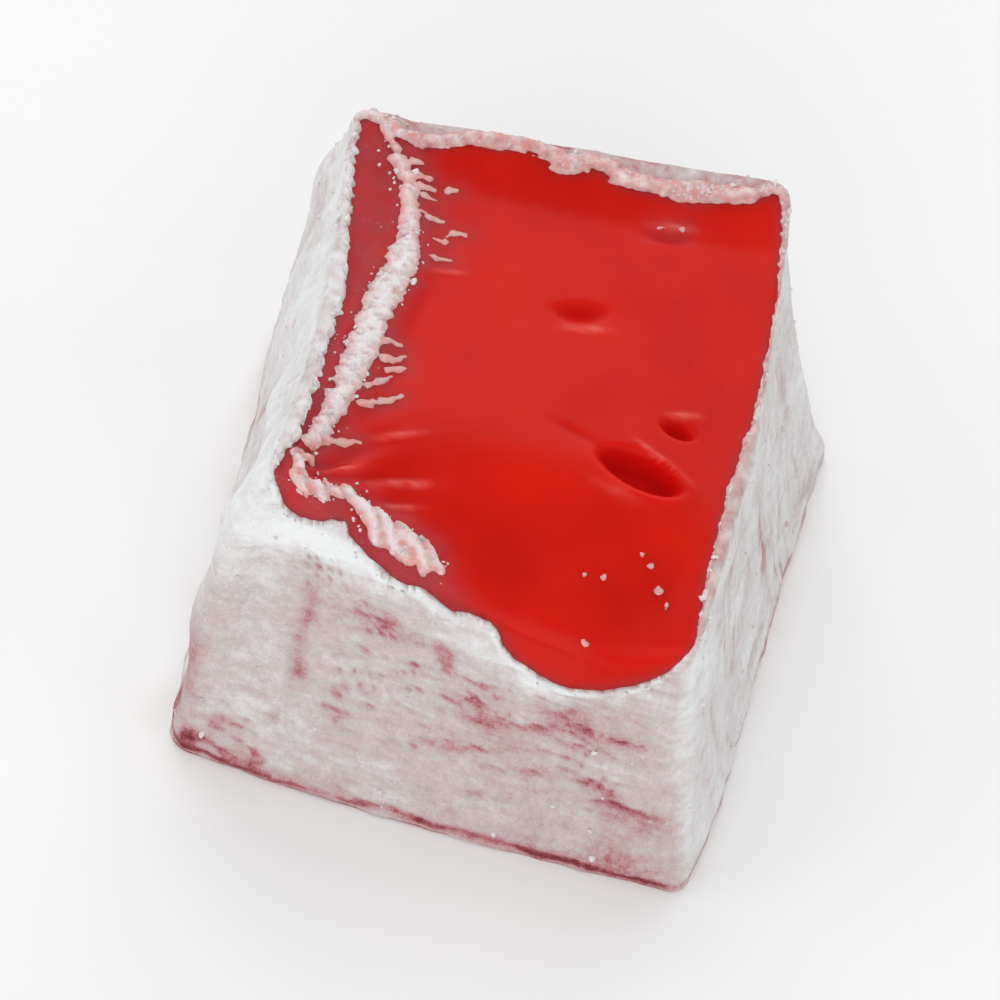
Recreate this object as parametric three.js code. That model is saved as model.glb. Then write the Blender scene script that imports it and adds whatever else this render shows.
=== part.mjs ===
// A hand-cut cube of firm starch jelly, dusted with powder, resting on its broad base.
//
// Millimetres, +Z up. The origin is the centre of the base of the bounding box, the front face
// looks along -Y and the right face along +X. The block is one closed solid: a box grid is rounded,
// leaned in towards a skewed, smaller top, sagged at its front rim and then given its relief.

import * as THREE from 'three';
import { ImprovedNoise } from 'three/addons/math/ImprovedNoise.js';
import { mergeVertices } from 'three/addons/utils/BufferGeometryUtils.js';

// Corners of the base as [x, y, z].
const BASE_CORNERS = {
  frontLeft: [-13.8, -15.5, 0],
  frontRight: [13.8, -15.9, 0],
  backLeft: [-15.8, 13.9, 0],
  backRight: [13.1, 15.4, 0],
};

// Corners of the top: smaller than the base, skewed, and lowest at the front right.
const TOP_CORNERS = {
  frontLeft: [-10.9, -11.9, 17.9],
  frontRight: [11.9, -13.3, 15.8],
  backLeft: [-13.4, 12.9, 18.3],
  backRight: [9.1, 15.0, 18.9],
};

// The left and right rims both bow towards the right between their corners.
const TOP_BOW = 0.8;

// The front foot bows forwards, most where s is at the peak.
const FOOT_BOW = { depth: 0.9, peak: 0.2, reach: 1.2 };

// Nominal half sizes of the block, which turn lengths on its faces into shares of a face.
const HALF_WIDTH = 13.8;
const HALF_DEPTH = 15.0;

// Rounding, all as radii.
const UPRIGHT_EDGE_RADIUS = 1.3;
const TOP_RIM_RADIUS = 0.7;
const BASE_EDGE_RADIUS = 0.6;

// How the sides stand: above 1 the foot spreads, and the hollow draws each side in at half height.
const FOOT_SPREAD_POWER = 1.3;
const SIDE_HOLLOW = 0.4;

// The top is a shallow dish. Along each side it rises to the rim by a share of the dish's depth,
// over a width.
const DISH_DEPTH = 0.85;
const DISH_LIFTS = {
  front: { share: 1.0, width: 3.2 },
  right: { share: 0.4, width: 3.0 },
  back: { share: 1.0, width: 4.6 },
  left: { share: 1.0, width: 3.0 },
};

// The front rim sags and bulges forward where the top rolls down over the front face. The rim is
// rounder there too.
const SAG_DEPTH = 5.4;
const SAG_BULGE = 0.7;
const SAG_CENTRE_X = 5.0;
const SAG_WIDTH_LEFT = 11.5;
const SAG_WIDTH_RIGHT = 6.5;
const SAG_SHOULDER_POWER = 2.4;
const SAG_REACH = 9.5;
const SAG_ROUNDING = 1.2;

// Two low ridges of packed powder lie on the top, as paths of [x, y].
const RIDGE_HEIGHT = 0.55;
const RIDGE_HALF_WIDTH = 0.75;
const LEFT_RIDGE = [[-10.6, 11.5], [-8.2, 6.1], [-8.0, 4.4], [-8.6, 1.0], [-8.5, -3.1], [-9.6, -8.6]];
const FRONT_RIDGE = [[-9.2, -11.2], [-7.1, -10.2], [-5.8, -11.1], [-1.5, -11.5]];

// Dimples pressed into the top: centre, half length, half width, depth and turn in degrees.
const DIMPLES = [
  { x: 6.45, y: -4.05, halfLength: 2.0, halfWidth: 0.9, depth: 0.9, turn: -4 },
  { x: 7.35, y: -0.75, halfLength: 0.85, halfWidth: 0.6, depth: 0.4, turn: 4 },
  { x: 0.9, y: 4.4, halfLength: 1.3, halfWidth: 0.7, depth: 0.28, turn: 16 },
];

// Uneven sides: slow swells and smaller crags, as height and wavelength.
const SWELL_HEIGHT = 0.32;
const SWELL_LENGTH = 9.0;
const CRAG_HEIGHT = 0.2;
const CRAG_LENGTH = 2.9;
const RELIEF_SEED = 41.7;

// Grid: cells across, along and up, and how strongly they crowd towards the edges.
const CELLS_ACROSS = 36;
const CELLS_ALONG = 36;
const CELLS_UP = 17;
const EDGE_CROWDING = 1.18;

// Jelly colour and sheen.
const JELLY_COLOUR = 0xcc2f23;
const JELLY_ROUGHNESS = 0.32;

const { clamp, degToRad, lerp, smoothstep } = THREE.MathUtils;
const noise = new ImprovedNoise();

/** Moves a grid line from -1..1 towards the nearer end, so that cells are smaller at edges. */
function crowd(value) {
  return Math.sign(value) * (1 - (1 - Math.abs(value)) ** EDGE_CROWDING);
}

/** Bends the corner square of two distances onto a quarter circle. */
function bendCorner(first, second) {
  const length = Math.hypot(first, second);
  const scale = length > 0 ? Math.max(first, second) / length : 1;
  return [first * scale, second * scale];
}

/** Rounds the upright edges of a plan point in millimetres. */
function roundPlan(x, y) {
  const innerX = clamp(x, UPRIGHT_EDGE_RADIUS - HALF_WIDTH, HALF_WIDTH - UPRIGHT_EDGE_RADIUS);
  const innerY = clamp(y, UPRIGHT_EDGE_RADIUS - HALF_DEPTH, HALF_DEPTH - UPRIGHT_EDGE_RADIUS);
  const [bentX, bentY] = bendCorner(Math.abs(x - innerX), Math.abs(y - innerY));
  return [innerX + Math.sign(x - innerX) * bentX, innerY + Math.sign(y - innerY) * bentY];
}

/**
 * Rounds the rim or the base edge. The point is given by its inset from the outline and its
 * distance below the top (or above the base); both come back moved onto the edge's arc.
 */
function roundEdge(inset, distance, radius) {
  const outward = clamp(radius - inset, 0, radius);
  const upward = clamp(radius - distance, 0, radius);
  if (outward === 0 || upward === 0) {
    return [inset, distance];
  }
  const [bentOut, bentUp] = bendCorner(outward, upward);
  return [radius - bentOut, radius - bentUp];
}

/** Blends four corners at (s, t), each from -1 to 1, into one [x, y, z]. */
function blendCorners(corners, s, t) {
  const across = (s + 1) / 2;
  const along = (t + 1) / 2;
  return [0, 1, 2].map((axis) => {
    const front = lerp(corners.frontLeft[axis], corners.frontRight[axis], across);
    const back = lerp(corners.backLeft[axis], corners.backRight[axis], across);
    return lerp(front, back, along);
  });
}

/** Share of the full sag, 0 to 1, at a top point. */
function sagShare(x, y) {
  const width = x < SAG_CENTRE_X ? SAG_WIDTH_LEFT : SAG_WIDTH_RIGHT;
  const acrossShare = Math.exp(-(Math.abs((x - SAG_CENTRE_X) / width) ** SAG_SHOULDER_POWER));
  const fromFront = y - TOP_CORNERS.frontRight[1];
  return acrossShare * clamp(1 - fromFront / SAG_REACH, 0, 1) ** 2;
}

/** Depth of the dish at (s, t), each from -1 to 1. */
function dish(s, t) {
  const remaining = (lift, away) => 1 - lift.share * (1 - smoothstep(away, 0, lift.width));
  const alongSides = remaining(DISH_LIFTS.front, (1 + t) * HALF_DEPTH)
    * remaining(DISH_LIFTS.back, (1 - t) * HALF_DEPTH);
  const acrossSides = remaining(DISH_LIFTS.left, (1 + s) * HALF_WIDTH)
    * remaining(DISH_LIFTS.right, (1 - s) * HALF_WIDTH);
  return DISH_DEPTH * alongSides * acrossSides;
}

/** How far the front foot bows forwards at (s, t), each from -1 to 1. */
function footBow(s, t) {
  const across = 1 - ((s - FOOT_BOW.peak) / FOOT_BOW.reach) ** 2;
  return FOOT_BOW.depth * across * ((1 - t) / 2) ** 2;
}

/** Shortest distance in plan from (x, y) to a path of points. */
function distanceToPath(x, y, path) {
  const point = new THREE.Vector2(x, y);
  let nearest = Infinity;
  for (let i = 1; i < path.length; i += 1) {
    const start = new THREE.Vector2(...path[i - 1]);
    const run = new THREE.Vector2(...path[i]).sub(start);
    const share = clamp(point.clone().sub(start).dot(run) / run.lengthSq(), 0, 1);
    nearest = Math.min(nearest, point.distanceTo(start.addScaledVector(run, share)));
  }
  return nearest;
}

/** Height of the two powder ridges at a top point. */
function ridges(x, y) {
  const heights = [LEFT_RIDGE, FRONT_RIDGE].map((path) => {
    const distance = distanceToPath(x, y, path);
    return RIDGE_HEIGHT * Math.exp(-((distance / RIDGE_HALF_WIDTH) ** 2));
  });
  return Math.max(...heights);
}

/** Depth of the pressed dimples at a top point. */
function dimples(x, y) {
  return DIMPLES.reduce((depth, dimple) => {
    const turned = new THREE.Vector2(x - dimple.x, y - dimple.y);
    turned.rotateAround(new THREE.Vector2(), -degToRad(dimple.turn));
    const radial = (turned.x / dimple.halfLength) ** 2 + (turned.y / dimple.halfWidth) ** 2;
    return depth + dimple.depth * Math.exp(-radial);
  }, 0);
}

/** Seeded unevenness of the sides at a point. */
function relief(point) {
  const layer = (length, seed) => noise.noise(point.x / length + seed, point.y / length, point.z / length);
  return SWELL_HEIGHT * layer(SWELL_LENGTH, RELIEF_SEED) + CRAG_HEIGHT * layer(CRAG_LENGTH, -RELIEF_SEED);
}

/** Places one point of the box grid, given as s and t from -1 to 1 and height from 0 to 1. */
function shapePoint(s, t, height) {
  const rho = Math.max(Math.abs(s), Math.abs(t));
  const [outlineX, outlineY, fullHeight] = blendCorners(TOP_CORNERS, s, t);

  // Round the rim and the base edge by moving the point inwards and towards the middle.
  const inset = (1 - rho) * HALF_WIDTH;
  const upper = height > 0.5;
  const fromEnd = (upper ? 1 - height : height) * fullHeight;
  const rimRadius = TOP_RIM_RADIUS + SAG_ROUNDING * sagShare(outlineX + TOP_BOW, outlineY);
  const radius = upper ? rimRadius : BASE_EDGE_RADIUS;
  const [newInset, newFromEnd] = roundEdge(inset, fromEnd, radius);
  const newHeight = upper ? 1 - newFromEnd / fullHeight : newFromEnd / fullHeight;
  const scale = rho > 0 ? (1 - newInset / HALF_WIDTH) / rho : 1;

  // Round the upright edges, then lean the plan in from the base to the skewed top.
  const [planX, planY] = roundPlan(s * scale * HALF_WIDTH, t * scale * HALF_DEPTH);
  const [newS, newT] = [planX / HALF_WIDTH, planY / HALF_DEPTH];
  const [baseX, baseY] = blendCorners(BASE_CORNERS, newS, newT);
  const [cornerX, topY, topZ] = blendCorners(TOP_CORNERS, newS, newT);
  const topX = cornerX + TOP_BOW * (1 - newT ** 2);
  const lean = 1 - (1 - newHeight) ** FOOT_SPREAD_POWER;
  const hollow = 1 - (SIDE_HOLLOW / HALF_WIDTH) * Math.sin(Math.PI * newHeight);
  const sagged = sagShare(topX, topY);
  const x = lerp(baseX, topX, lean) * hollow;
  const footY = baseY - footBow(newS, newT);
  const y = lerp(footY, topY, lean) * hollow - SAG_BULGE * sagged * newHeight;

  // Lower the whole column where the front rim sags; the dish and dimples are on the top alone.
  const column = topZ - SAG_DEPTH * sagged;
  const onTop = smoothstep(newHeight, 0.9, 1);
  const top = (ridges(topX, topY) - dish(newS, newT) - dimples(topX, topY)) * onTop;
  return new THREE.Vector3(x, y, newHeight * column + top);
}

/** Pushes the sides in and out by the relief, moving them level close to the flat base. */
function roughen(geometry) {
  geometry.computeVertexNormals();
  const position = geometry.attributes.position;
  const normal = geometry.attributes.normal;
  const point = new THREE.Vector3();
  const direction = new THREE.Vector3();
  for (let i = 0; i < position.count; i += 1) {
    point.fromBufferAttribute(position, i);
    direction.fromBufferAttribute(normal, i);
    const sideShare = 1 - 0.75 * smoothstep(direction.z, 0.3, 0.9);
    const aboveBase = smoothstep(point.z, BASE_EDGE_RADIUS, 3 * BASE_EDGE_RADIUS);
    direction.z *= aboveBase;
    point.addScaledVector(direction, relief(point) * sideShare);
    position.setXYZ(i, point.x, point.y, point.z);
  }
}

/** Builds the block's closed surface with its base flat at zero height. */
function blockGeometry() {
  const box = new THREE.BoxGeometry(2, 2, 2, CELLS_ACROSS, CELLS_ALONG, CELLS_UP);
  box.deleteAttribute('normal');
  box.deleteAttribute('uv');
  const geometry = mergeVertices(box, 1e-4);
  const position = geometry.attributes.position;
  for (let i = 0; i < position.count; i += 1) {
    const height = (crowd(position.getZ(i)) + 1) / 2;
    const point = shapePoint(crowd(position.getX(i)), crowd(position.getY(i)), height);
    position.setXYZ(i, point.x, point.y, point.z);
  }
  roughen(geometry);
  return centreOnBase(geometry);
}

/** Moves a geometry so that the centre of its bounding box's base is the origin. */
function centreOnBase(geometry) {
  geometry.computeBoundingBox();
  const { min, max } = geometry.boundingBox;
  geometry.translate(-(min.x + max.x) / 2, -(min.y + max.y) / 2, -min.z);
  geometry.computeVertexNormals();
  return geometry;
}

/** Glossy rose jelly. */
function jellyMaterial() {
  return new THREE.MeshStandardMaterial({
    name: 'rose_jelly',
    color: JELLY_COLOUR,
    roughness: JELLY_ROUGHNESS,
    metalness: 0,
  });
}

/** The whole cube as one named mesh. */
function delightCube() {
  const cube = new THREE.Mesh(blockGeometry(), jellyMaterial());
  cube.name = 'delight_cube';
  return cube;
}

const part = new THREE.Group();
part.add(delightCube());

export default part;
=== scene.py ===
"""One hand-cut cube of rose lokum: glossy red starch jelly, bare on top and dusted on its sides.

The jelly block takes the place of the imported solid. The powder coat is a crust of its own, with a raised ragged edge
where it stops at the rim, and the loose clumps sit on it. Sizes are in millimetres and become metres in the meshes.
"""

import logging
import math
from dataclasses import dataclass, fields
from enum import Enum
from functools import partial
from typing import Any, Callable, Optional, Sequence, Union

import bmesh
import bpy
import numpy as np
from mathutils import Matrix, Vector, noise


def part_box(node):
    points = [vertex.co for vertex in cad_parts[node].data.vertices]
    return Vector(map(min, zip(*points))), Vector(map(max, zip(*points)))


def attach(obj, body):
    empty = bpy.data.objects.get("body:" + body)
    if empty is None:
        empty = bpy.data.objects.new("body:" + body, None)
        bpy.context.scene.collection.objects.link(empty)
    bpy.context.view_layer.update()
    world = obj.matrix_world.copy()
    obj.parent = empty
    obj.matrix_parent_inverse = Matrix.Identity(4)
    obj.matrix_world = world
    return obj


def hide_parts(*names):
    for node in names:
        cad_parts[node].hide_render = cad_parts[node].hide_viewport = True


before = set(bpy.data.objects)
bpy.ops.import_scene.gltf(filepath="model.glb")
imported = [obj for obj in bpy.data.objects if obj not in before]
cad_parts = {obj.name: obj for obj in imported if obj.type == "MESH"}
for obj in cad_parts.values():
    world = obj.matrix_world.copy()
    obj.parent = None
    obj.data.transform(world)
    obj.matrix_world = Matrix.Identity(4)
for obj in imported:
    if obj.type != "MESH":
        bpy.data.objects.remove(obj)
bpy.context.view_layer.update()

LOG = logging.getLogger("lokum")
MM = 0.001
NODE = "delight_cube"
BODY = "root"

Array = np.ndarray
Socket = Union[bpy.types.NodeSocket, float, tuple]
Path = Sequence[tuple[float, float, float]]
Relief = Callable[[Array, Array], Array]


# ---------------------------------------------------------------------------------------------------------------------
# Small tools
# ---------------------------------------------------------------------------------------------------------------------


def linear(hex_colour: str) -> tuple[float, float, float, float]:
    """Turns an sRGB hex colour into linear RGBA.

    Args:
        hex_colour: six hex digits, with or without a leading "#".

    Returns:
        The linear red, green and blue, and an alpha of one.
    """
    digits = hex_colour.lstrip("#")
    channels = (int(digits[i : i + 2], 16) / 255 for i in (0, 2, 4))
    red, green, blue = (c / 12.92 if c <= 0.04045 else ((c + 0.055) / 1.055) ** 2.4 for c in channels)
    return (red, green, blue, 1.0)


def smooth(value: Array, low: float, high: float) -> Array:
    """Rises smoothly from 0 where the value is low to 1 where it is high."""
    share = np.clip((value - low) / (high - low), 0.0, 1.0)
    return share * share * (3.0 - 2.0 * share)


def bump(value: Array, centre: float, width: float) -> Array:
    """A bell curve of height 1 around its centre, which falls to 1/e over its width."""
    return np.exp(-(((value - centre) / width) ** 2))


def grain(points: Array, length: Union[float, Sequence[float]], seed: float) -> Array:
    """Perlin noise on points, about -1 to 1.

    Args:
        points: points in millimetres, one row each.
        length: wavelength in millimetres, one for all axes or one for each.
        seed: shift that picks another pattern.

    Returns:
        One value for each point.
    """
    scaled = (points / np.asarray(length) + seed).tolist()
    return np.fromiter((noise.noise(p) for p in scaled), float, len(scaled))


def lumps(points: Array, size: float, seed: float) -> Array:
    """Packed round lumps.

    Args:
        points: points in millimetres, one row each.
        size: width of a lump in millimetres.
        seed: shift that picks another pattern.

    Returns:
        1 on top of a lump, 0 in the gaps between.
    """
    scaled = (points / size + seed).tolist()
    near = np.fromiter((noise.voronoi(p)[0][0] for p in scaled), float, len(scaled))
    return np.sqrt(np.clip(1 - (near / 0.75) ** 2, 0, 1))


def path_reach(x: Array, y: Array, path: Path) -> Array:
    """How far inside a path of changing width each point lies, in plan.

    Args:
        x: across, in millimetres.
        y: along, in millimetres.
        path: points on the middle line, each as x, y and the half-width there.

    Returns:
        Distance in from the path's edge in millimetres, negative outside it.
    """
    best = np.full(len(x), -np.inf)
    for (x0, y0, w0), (x1, y1, w1) in zip(path, path[1:]):
        run_x, run_y = x1 - x0, y1 - y0
        share = np.clip(((x - x0) * run_x + (y - y0) * run_y) / (run_x**2 + run_y**2), 0.0, 1.0)
        away = np.hypot(x - x0 - share * run_x, y - y0 - share * run_y)
        best = np.maximum(best, w0 + (w1 - w0) * share - away)
    return best


def nearest_reach(x: Array, y: Array, paths: Sequence[Path]) -> Array:
    """What path_reach gives for the nearest of several paths."""
    return np.max([path_reach(x, y, path) for path in paths], axis=0)


def add_node(
    tree: bpy.types.NodeTree,
    kind: str,
    links: Optional[dict[Union[str, int], Socket]] = None,
    stops: Sequence[tuple[float, str]] = (),
    **settings: Any,
) -> bpy.types.Node:
    """Adds a node with its settings and links.

    Args:
        tree: the material's node tree.
        kind: Blender's name for the kind of node, without "ShaderNode" before it.
        links: for each input, the output that feeds it or the value it holds.
        stops: places and hex colours along a colour ramp.
        settings: the node's own properties.

    Returns:
        The new node.
    """
    node = tree.nodes.new("ShaderNode" + kind)
    for name, value in settings.items():
        setattr(node, name, value)
    for socket, source in (links or {}).items():
        if isinstance(source, bpy.types.NodeSocket):
            tree.links.new(source, node.inputs[socket])
        else:
            node.inputs[socket].default_value = source
    for index, (place, colour) in enumerate(stops):
        ramp = node.color_ramp.elements
        stop = ramp[index] if index < 2 else ramp.new(place)
        stop.position = place
        stop.color = linear(colour)
    return node


def finish_mesh(shape: bmesh.types.BMesh, name: str) -> bpy.types.Mesh:
    """Turns a finished bmesh into a mesh and frees the bmesh.

    Args:
        shape: the finished bmesh.
        name: the mesh's name.

    Returns:
        The mesh.
    """
    mesh = bpy.data.meshes.new(name)
    shape.to_mesh(mesh)
    shape.free()
    return mesh


def read_vertices(mesh: bpy.types.Mesh, field: str) -> Array:
    """Reads one property of a mesh's vertices.

    Args:
        mesh: the mesh to read.
        field: "co" for their places, "normal" for their directions.

    Returns:
        One row for each vertex.
    """
    flat = np.empty(len(mesh.vertices) * 3)
    mesh.vertices.foreach_get(field, flat)
    return flat.reshape(-1, 3)


def write_values(mesh: bpy.types.Mesh, name: str, values: Array) -> None:
    """Stores one number for each vertex as a named attribute, for a material to read."""
    attribute = mesh.attributes.new(name, "FLOAT", "POINT")
    attribute.data.foreach_set("value", values.astype(np.float32))


def new_object(name: str, mesh: bpy.types.Mesh, material: bpy.types.Material) -> bpy.types.Object:
    """Puts a smooth-shaded mesh into the scene at the origin.

    Args:
        name: the piece's name.
        mesh: its finished mesh.
        material: its only material.

    Returns:
        The new object.
    """
    mesh.materials.clear()
    mesh.materials.append(material)
    mesh.shade_smooth()
    piece = bpy.data.objects.new(name, mesh)
    bpy.context.scene.collection.objects.link(piece)
    return piece


# ---------------------------------------------------------------------------------------------------------------------
# Form
# ---------------------------------------------------------------------------------------------------------------------


@dataclass(frozen=True)
class Corners:
    """Four corners of one level of the cube, each as x, y, z in millimetres."""

    front_left: tuple[float, float, float]
    front_right: tuple[float, float, float]
    back_left: tuple[float, float, float]
    back_right: tuple[float, float, float]

    def blend(self, s: Array, t: Array) -> Array:
        """Blends the corners.

        Args:
            s: across, -1 at the left to 1 at the right.
            t: along, -1 at the front to 1 at the back.

        Returns:
            One point for each pair, as rows of x, y, z.
        """
        across = ((s + 1) / 2)[:, None]
        along = ((t + 1) / 2)[:, None]
        front = np.asarray(self.front_left) * (1 - across) + np.asarray(self.front_right) * across
        back = np.asarray(self.back_left) * (1 - across) + np.asarray(self.back_right) * across
        return front * (1 - along) + back * along


@dataclass(frozen=True)
class Mark:
    """An oval mark on a face, fading out from its middle."""

    x: float
    y: float
    half_length: float
    half_width: float
    turn: float
    strength: float
    sharpness: float = 2.0

    def share(self, x: Array, y: Array) -> Array:
        """Strength of the mark at each point.

        Args:
            x: across the face, in millimetres.
            y: up or along the face, in millimetres.

        Returns:
            The full strength in the middle, 0 outside.
        """
        angle = math.radians(self.turn)
        across = (x - self.x) * math.cos(angle) + (y - self.y) * math.sin(angle)
        along = (y - self.y) * math.cos(angle) - (x - self.x) * math.sin(angle)
        radial = np.sqrt((across / self.half_length) ** 2 + (along / self.half_width) ** 2)
        return self.strength * np.exp(-(radial**self.sharpness))


def total_share(marks: Sequence[Mark], x: Array, y: Array) -> Array:
    """Strength of several marks together at each point."""
    return sum(mark.share(x, y) for mark in marks)


class Side(Enum):
    """The four cut sides, each with its outward direction in plan."""

    FRONT = (0.0, -1.0)
    RIGHT = (1.0, 0.0)
    BACK = (0.0, 1.0)
    LEFT = (-1.0, 0.0)

    def share(self, normals: Array) -> Array:
        """How much each normal faces this side, 0 to 1."""
        return smooth(normals[:, 0] * self.value[0] + normals[:, 1] * self.value[1], 0.4, 0.8)


@dataclass
class Surface:
    """Where the vertices of a gridded block lie, in millimetres unless they are shares.

    S and t are shares of the half-widths, -1 to 1. Top_x and top_y give the place of the top above the vertex. Inset
    is the distance in from the rim on the top, and drop is the height below the rim on a side. Sag is the share of the
    full sag, 0 to 1.
    """

    points: Array
    s: Array
    t: Array
    top_x: Array
    top_y: Array
    inset: Array
    drop: Array
    sag: Array

    @property
    def rim(self) -> Array:
        """Distance from the rim line: positive inwards on the top, negative down a side."""
        return self.inset - self.drop

    def take(self, picks: Array) -> "Surface":
        """The same values for the picked vertices alone."""
        return Surface(*(getattr(self, field.name)[picks] for field in fields(self)))


@dataclass(frozen=True)
class RimLift:
    """How the dished top rises to the rim along one side."""

    share: float
    width: float


@dataclass(frozen=True)
class CubeForm:
    """True form of the cube: a skewed, flared block with a dished top that sags over its front rim."""

    base: Corners = Corners((-13.8, -15.5, 0), (13.8, -15.9, 0), (-15.8, 13.9, 0), (13.1, 15.4, 0))
    top: Corners = Corners((-10.9, -11.9, 17.9), (11.9, -13.3, 15.8), (-13.4, 12.9, 18.3), (9.1, 15.0, 18.9))
    top_bow: float = 0.8
    foot_bow: float = 0.9
    foot_bow_peak: float = 0.2
    foot_bow_reach: float = 1.2
    half_width: float = 13.8
    half_depth: float = 15.0
    upright_radius: float = 1.3
    rim_radius: float = 0.7
    base_radius: float = 0.6
    foot_spread_power: float = 1.3
    side_hollow: float = 0.4
    dish_depth: float = 0.85
    lifts: tuple[tuple[Side, RimLift], ...] = (
        (Side.FRONT, RimLift(1.0, 3.2)),
        (Side.RIGHT, RimLift(0.4, 3.0)),
        (Side.BACK, RimLift(1.0, 4.6)),
        (Side.LEFT, RimLift(1.0, 3.0)),
    )
    sag_depth: float = 5.4
    sag_bulge: float = 0.7
    sag_centre_x: float = 5.0
    sag_width_left: float = 11.5
    sag_width_right: float = 6.5
    sag_shoulder_power: float = 2.4
    sag_reach: float = 9.5
    sag_rounding: float = 1.2
    swell: tuple[float, float] = (0.30, 9.0)
    crag: tuple[float, float] = (0.16, 2.9)
    nick: tuple[float, float] = (0.16, 1.3)
    seed: float = 4.17

    def gridded_block(self, across: int, along: int, up: int, hidden_top: float = 0.0) -> bpy.types.Mesh:
        """A cube cut into an even grid, with the middle of its base left as one face.

        Args:
            across: cells from left to right.
            along: cells from front to back.
            up: cells from base to top.
            hidden_top: share of the top's half-width that is left as one face too.

        Returns:
            A mesh that runs from -1 to 1 along each axis.
        """
        shape = bmesh.new()
        bmesh.ops.create_cube(shape, size=2.0)
        for axis, cells in enumerate((across, along, up)):
            parallel = [e for e in shape.edges if abs(e.verts[0].co[axis] - e.verts[1].co[axis]) > 1.0]
            bmesh.ops.subdivide_edges(shape, edges=parallel, cuts=cells - 1, use_grid_fill=True)
        centres = {f: f.calc_center_median() for f in shape.faces}
        for level, reach in ((-1.0, 0.87), (1.0, hidden_top)):
            middle = [f for f, c in centres.items() if abs(c.z - level) < 0.001 and max(abs(c.x), abs(c.y)) < reach]
            if middle:
                bmesh.ops.dissolve_faces(shape, faces=middle, use_verts=True)
        return finish_mesh(shape, "block")

    @staticmethod
    def bend(first: Array, second: Array) -> tuple[Array, Array]:
        """Bends the corner square of two distances onto a quarter circle.

        Args:
            first: distance along one side.
            second: distance along the other.

        Returns:
            Both distances on the arc.
        """
        length = np.hypot(first, second)
        scale = np.divide(np.maximum(first, second), length, out=np.ones_like(length), where=length > 0)
        return first * scale, second * scale

    def round_plan(self, x: Array, y: Array) -> tuple[Array, Array]:
        """Rounds the upright edges.

        Args:
            x: across, in millimetres.
            y: along, in millimetres.

        Returns:
            Both moved onto the rounded outline.
        """
        limit_x = self.half_width - self.upright_radius
        limit_y = self.half_depth - self.upright_radius
        inner_x, inner_y = np.clip(x, -limit_x, limit_x), np.clip(y, -limit_y, limit_y)
        bent_x, bent_y = self.bend(np.abs(x - inner_x), np.abs(y - inner_y))
        return inner_x + np.sign(x - inner_x) * bent_x, inner_y + np.sign(y - inner_y) * bent_y

    def round_edge(self, inset: Array, distance: Array, radius: Array) -> tuple[Array, Array]:
        """Rounds the rim or the base edge.

        Args:
            inset: distance in from the outline.
            distance: distance from the top or the base.
            radius: the edge's radius.

        Returns:
            Both moved onto the edge's arc.
        """
        outward = np.clip(radius - inset, 0, radius)
        upward = np.clip(radius - distance, 0, radius)
        bent_out, bent_up = self.bend(outward, upward)
        near = (outward > 0) & (upward > 0)
        return np.where(near, radius - bent_out, inset), np.where(near, radius - bent_up, distance)

    def from_side(self, side: Side, s: Array, t: Array) -> Array:
        """Distance in from one side, in millimetres, at the shares s across and t along."""
        across, along = side.value
        return (1 - s * across) * self.half_width if across else (1 - t * along) * self.half_depth

    def sag_share(self, x: Array, y: Array) -> Array:
        """Share of the full sag at a top point.

        Args:
            x: across, in millimetres.
            y: along, in millimetres.

        Returns:
            0 where the top is at its full height, 1 at the lowest part of the rim.
        """
        width = np.where(x < self.sag_centre_x, self.sag_width_left, self.sag_width_right)
        across = np.exp(-(np.abs((x - self.sag_centre_x) / width) ** self.sag_shoulder_power))
        from_front = y - self.top.front_right[1]
        return across * np.clip(1 - from_front / self.sag_reach, 0, 1) ** 2

    def foot(self, s: Array, t: Array) -> Array:
        """The base, whose front edge bows forwards.

        Args:
            s: across, -1 at the left to 1 at the right.
            t: along, -1 at the front to 1 at the back.

        Returns:
            One point for each pair, as rows of x, y, z.
        """
        points = self.base.blend(s, t)
        across = 1 - ((s - self.foot_bow_peak) / self.foot_bow_reach) ** 2
        points[:, 1] -= self.foot_bow * across * ((1 - t) / 2) ** 2
        return points

    def dish(self, s: Array, t: Array) -> Array:
        """Depth of the dished top below its rim.

        Args:
            s: across, -1 at the left to 1 at the right.
            t: along, -1 at the front to 1 at the back.

        Returns:
            The depth in millimetres.
        """
        depth = np.full_like(s, self.dish_depth)
        for side, lift in self.lifts:
            depth *= 1 - lift.share * (1 - smooth(self.from_side(side, s, t), 0, lift.width))
        return depth

    def place(self, mesh: bpy.types.Mesh, crowding: tuple[float, float], top_relief: Relief) -> Surface:
        """Finds where each vertex of a gridded block belongs.

        Args:
            mesh: the gridded block, from -1 to 1.
            crowding: 1 for even cells, more for smaller cells at the edges, in plan and in height.
            top_relief: height of the top's own relief at x and y.

        Returns:
            The placed vertices with what the finishes need to know of them.
        """
        powers = (crowding[0], crowding[0], crowding[1])
        even = zip(read_vertices(mesh, "co").T, powers)
        s, t, up = (np.sign(c) * (1 - (1 - np.abs(c)) ** power) for c, power in even)
        height = (up + 1) / 2
        rho = np.maximum(np.abs(s), np.abs(t))
        plain = self.top.blend(s, t)
        full = plain[:, 2]

        inset = (1 - rho) * self.half_width
        upper = height > 0.5
        from_end = np.where(upper, 1 - height, height) * full
        rounded = self.rim_radius + self.sag_rounding * self.sag_share(plain[:, 0] + self.top_bow, plain[:, 1])
        radius = np.where(upper, rounded, self.base_radius)
        new_inset, new_from_end = self.round_edge(inset, from_end, radius)
        height = np.where(upper, 1 - new_from_end / full, new_from_end / full)
        scale = np.divide(1 - new_inset / self.half_width, rho, out=np.ones_like(rho), where=rho > 0)

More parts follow.
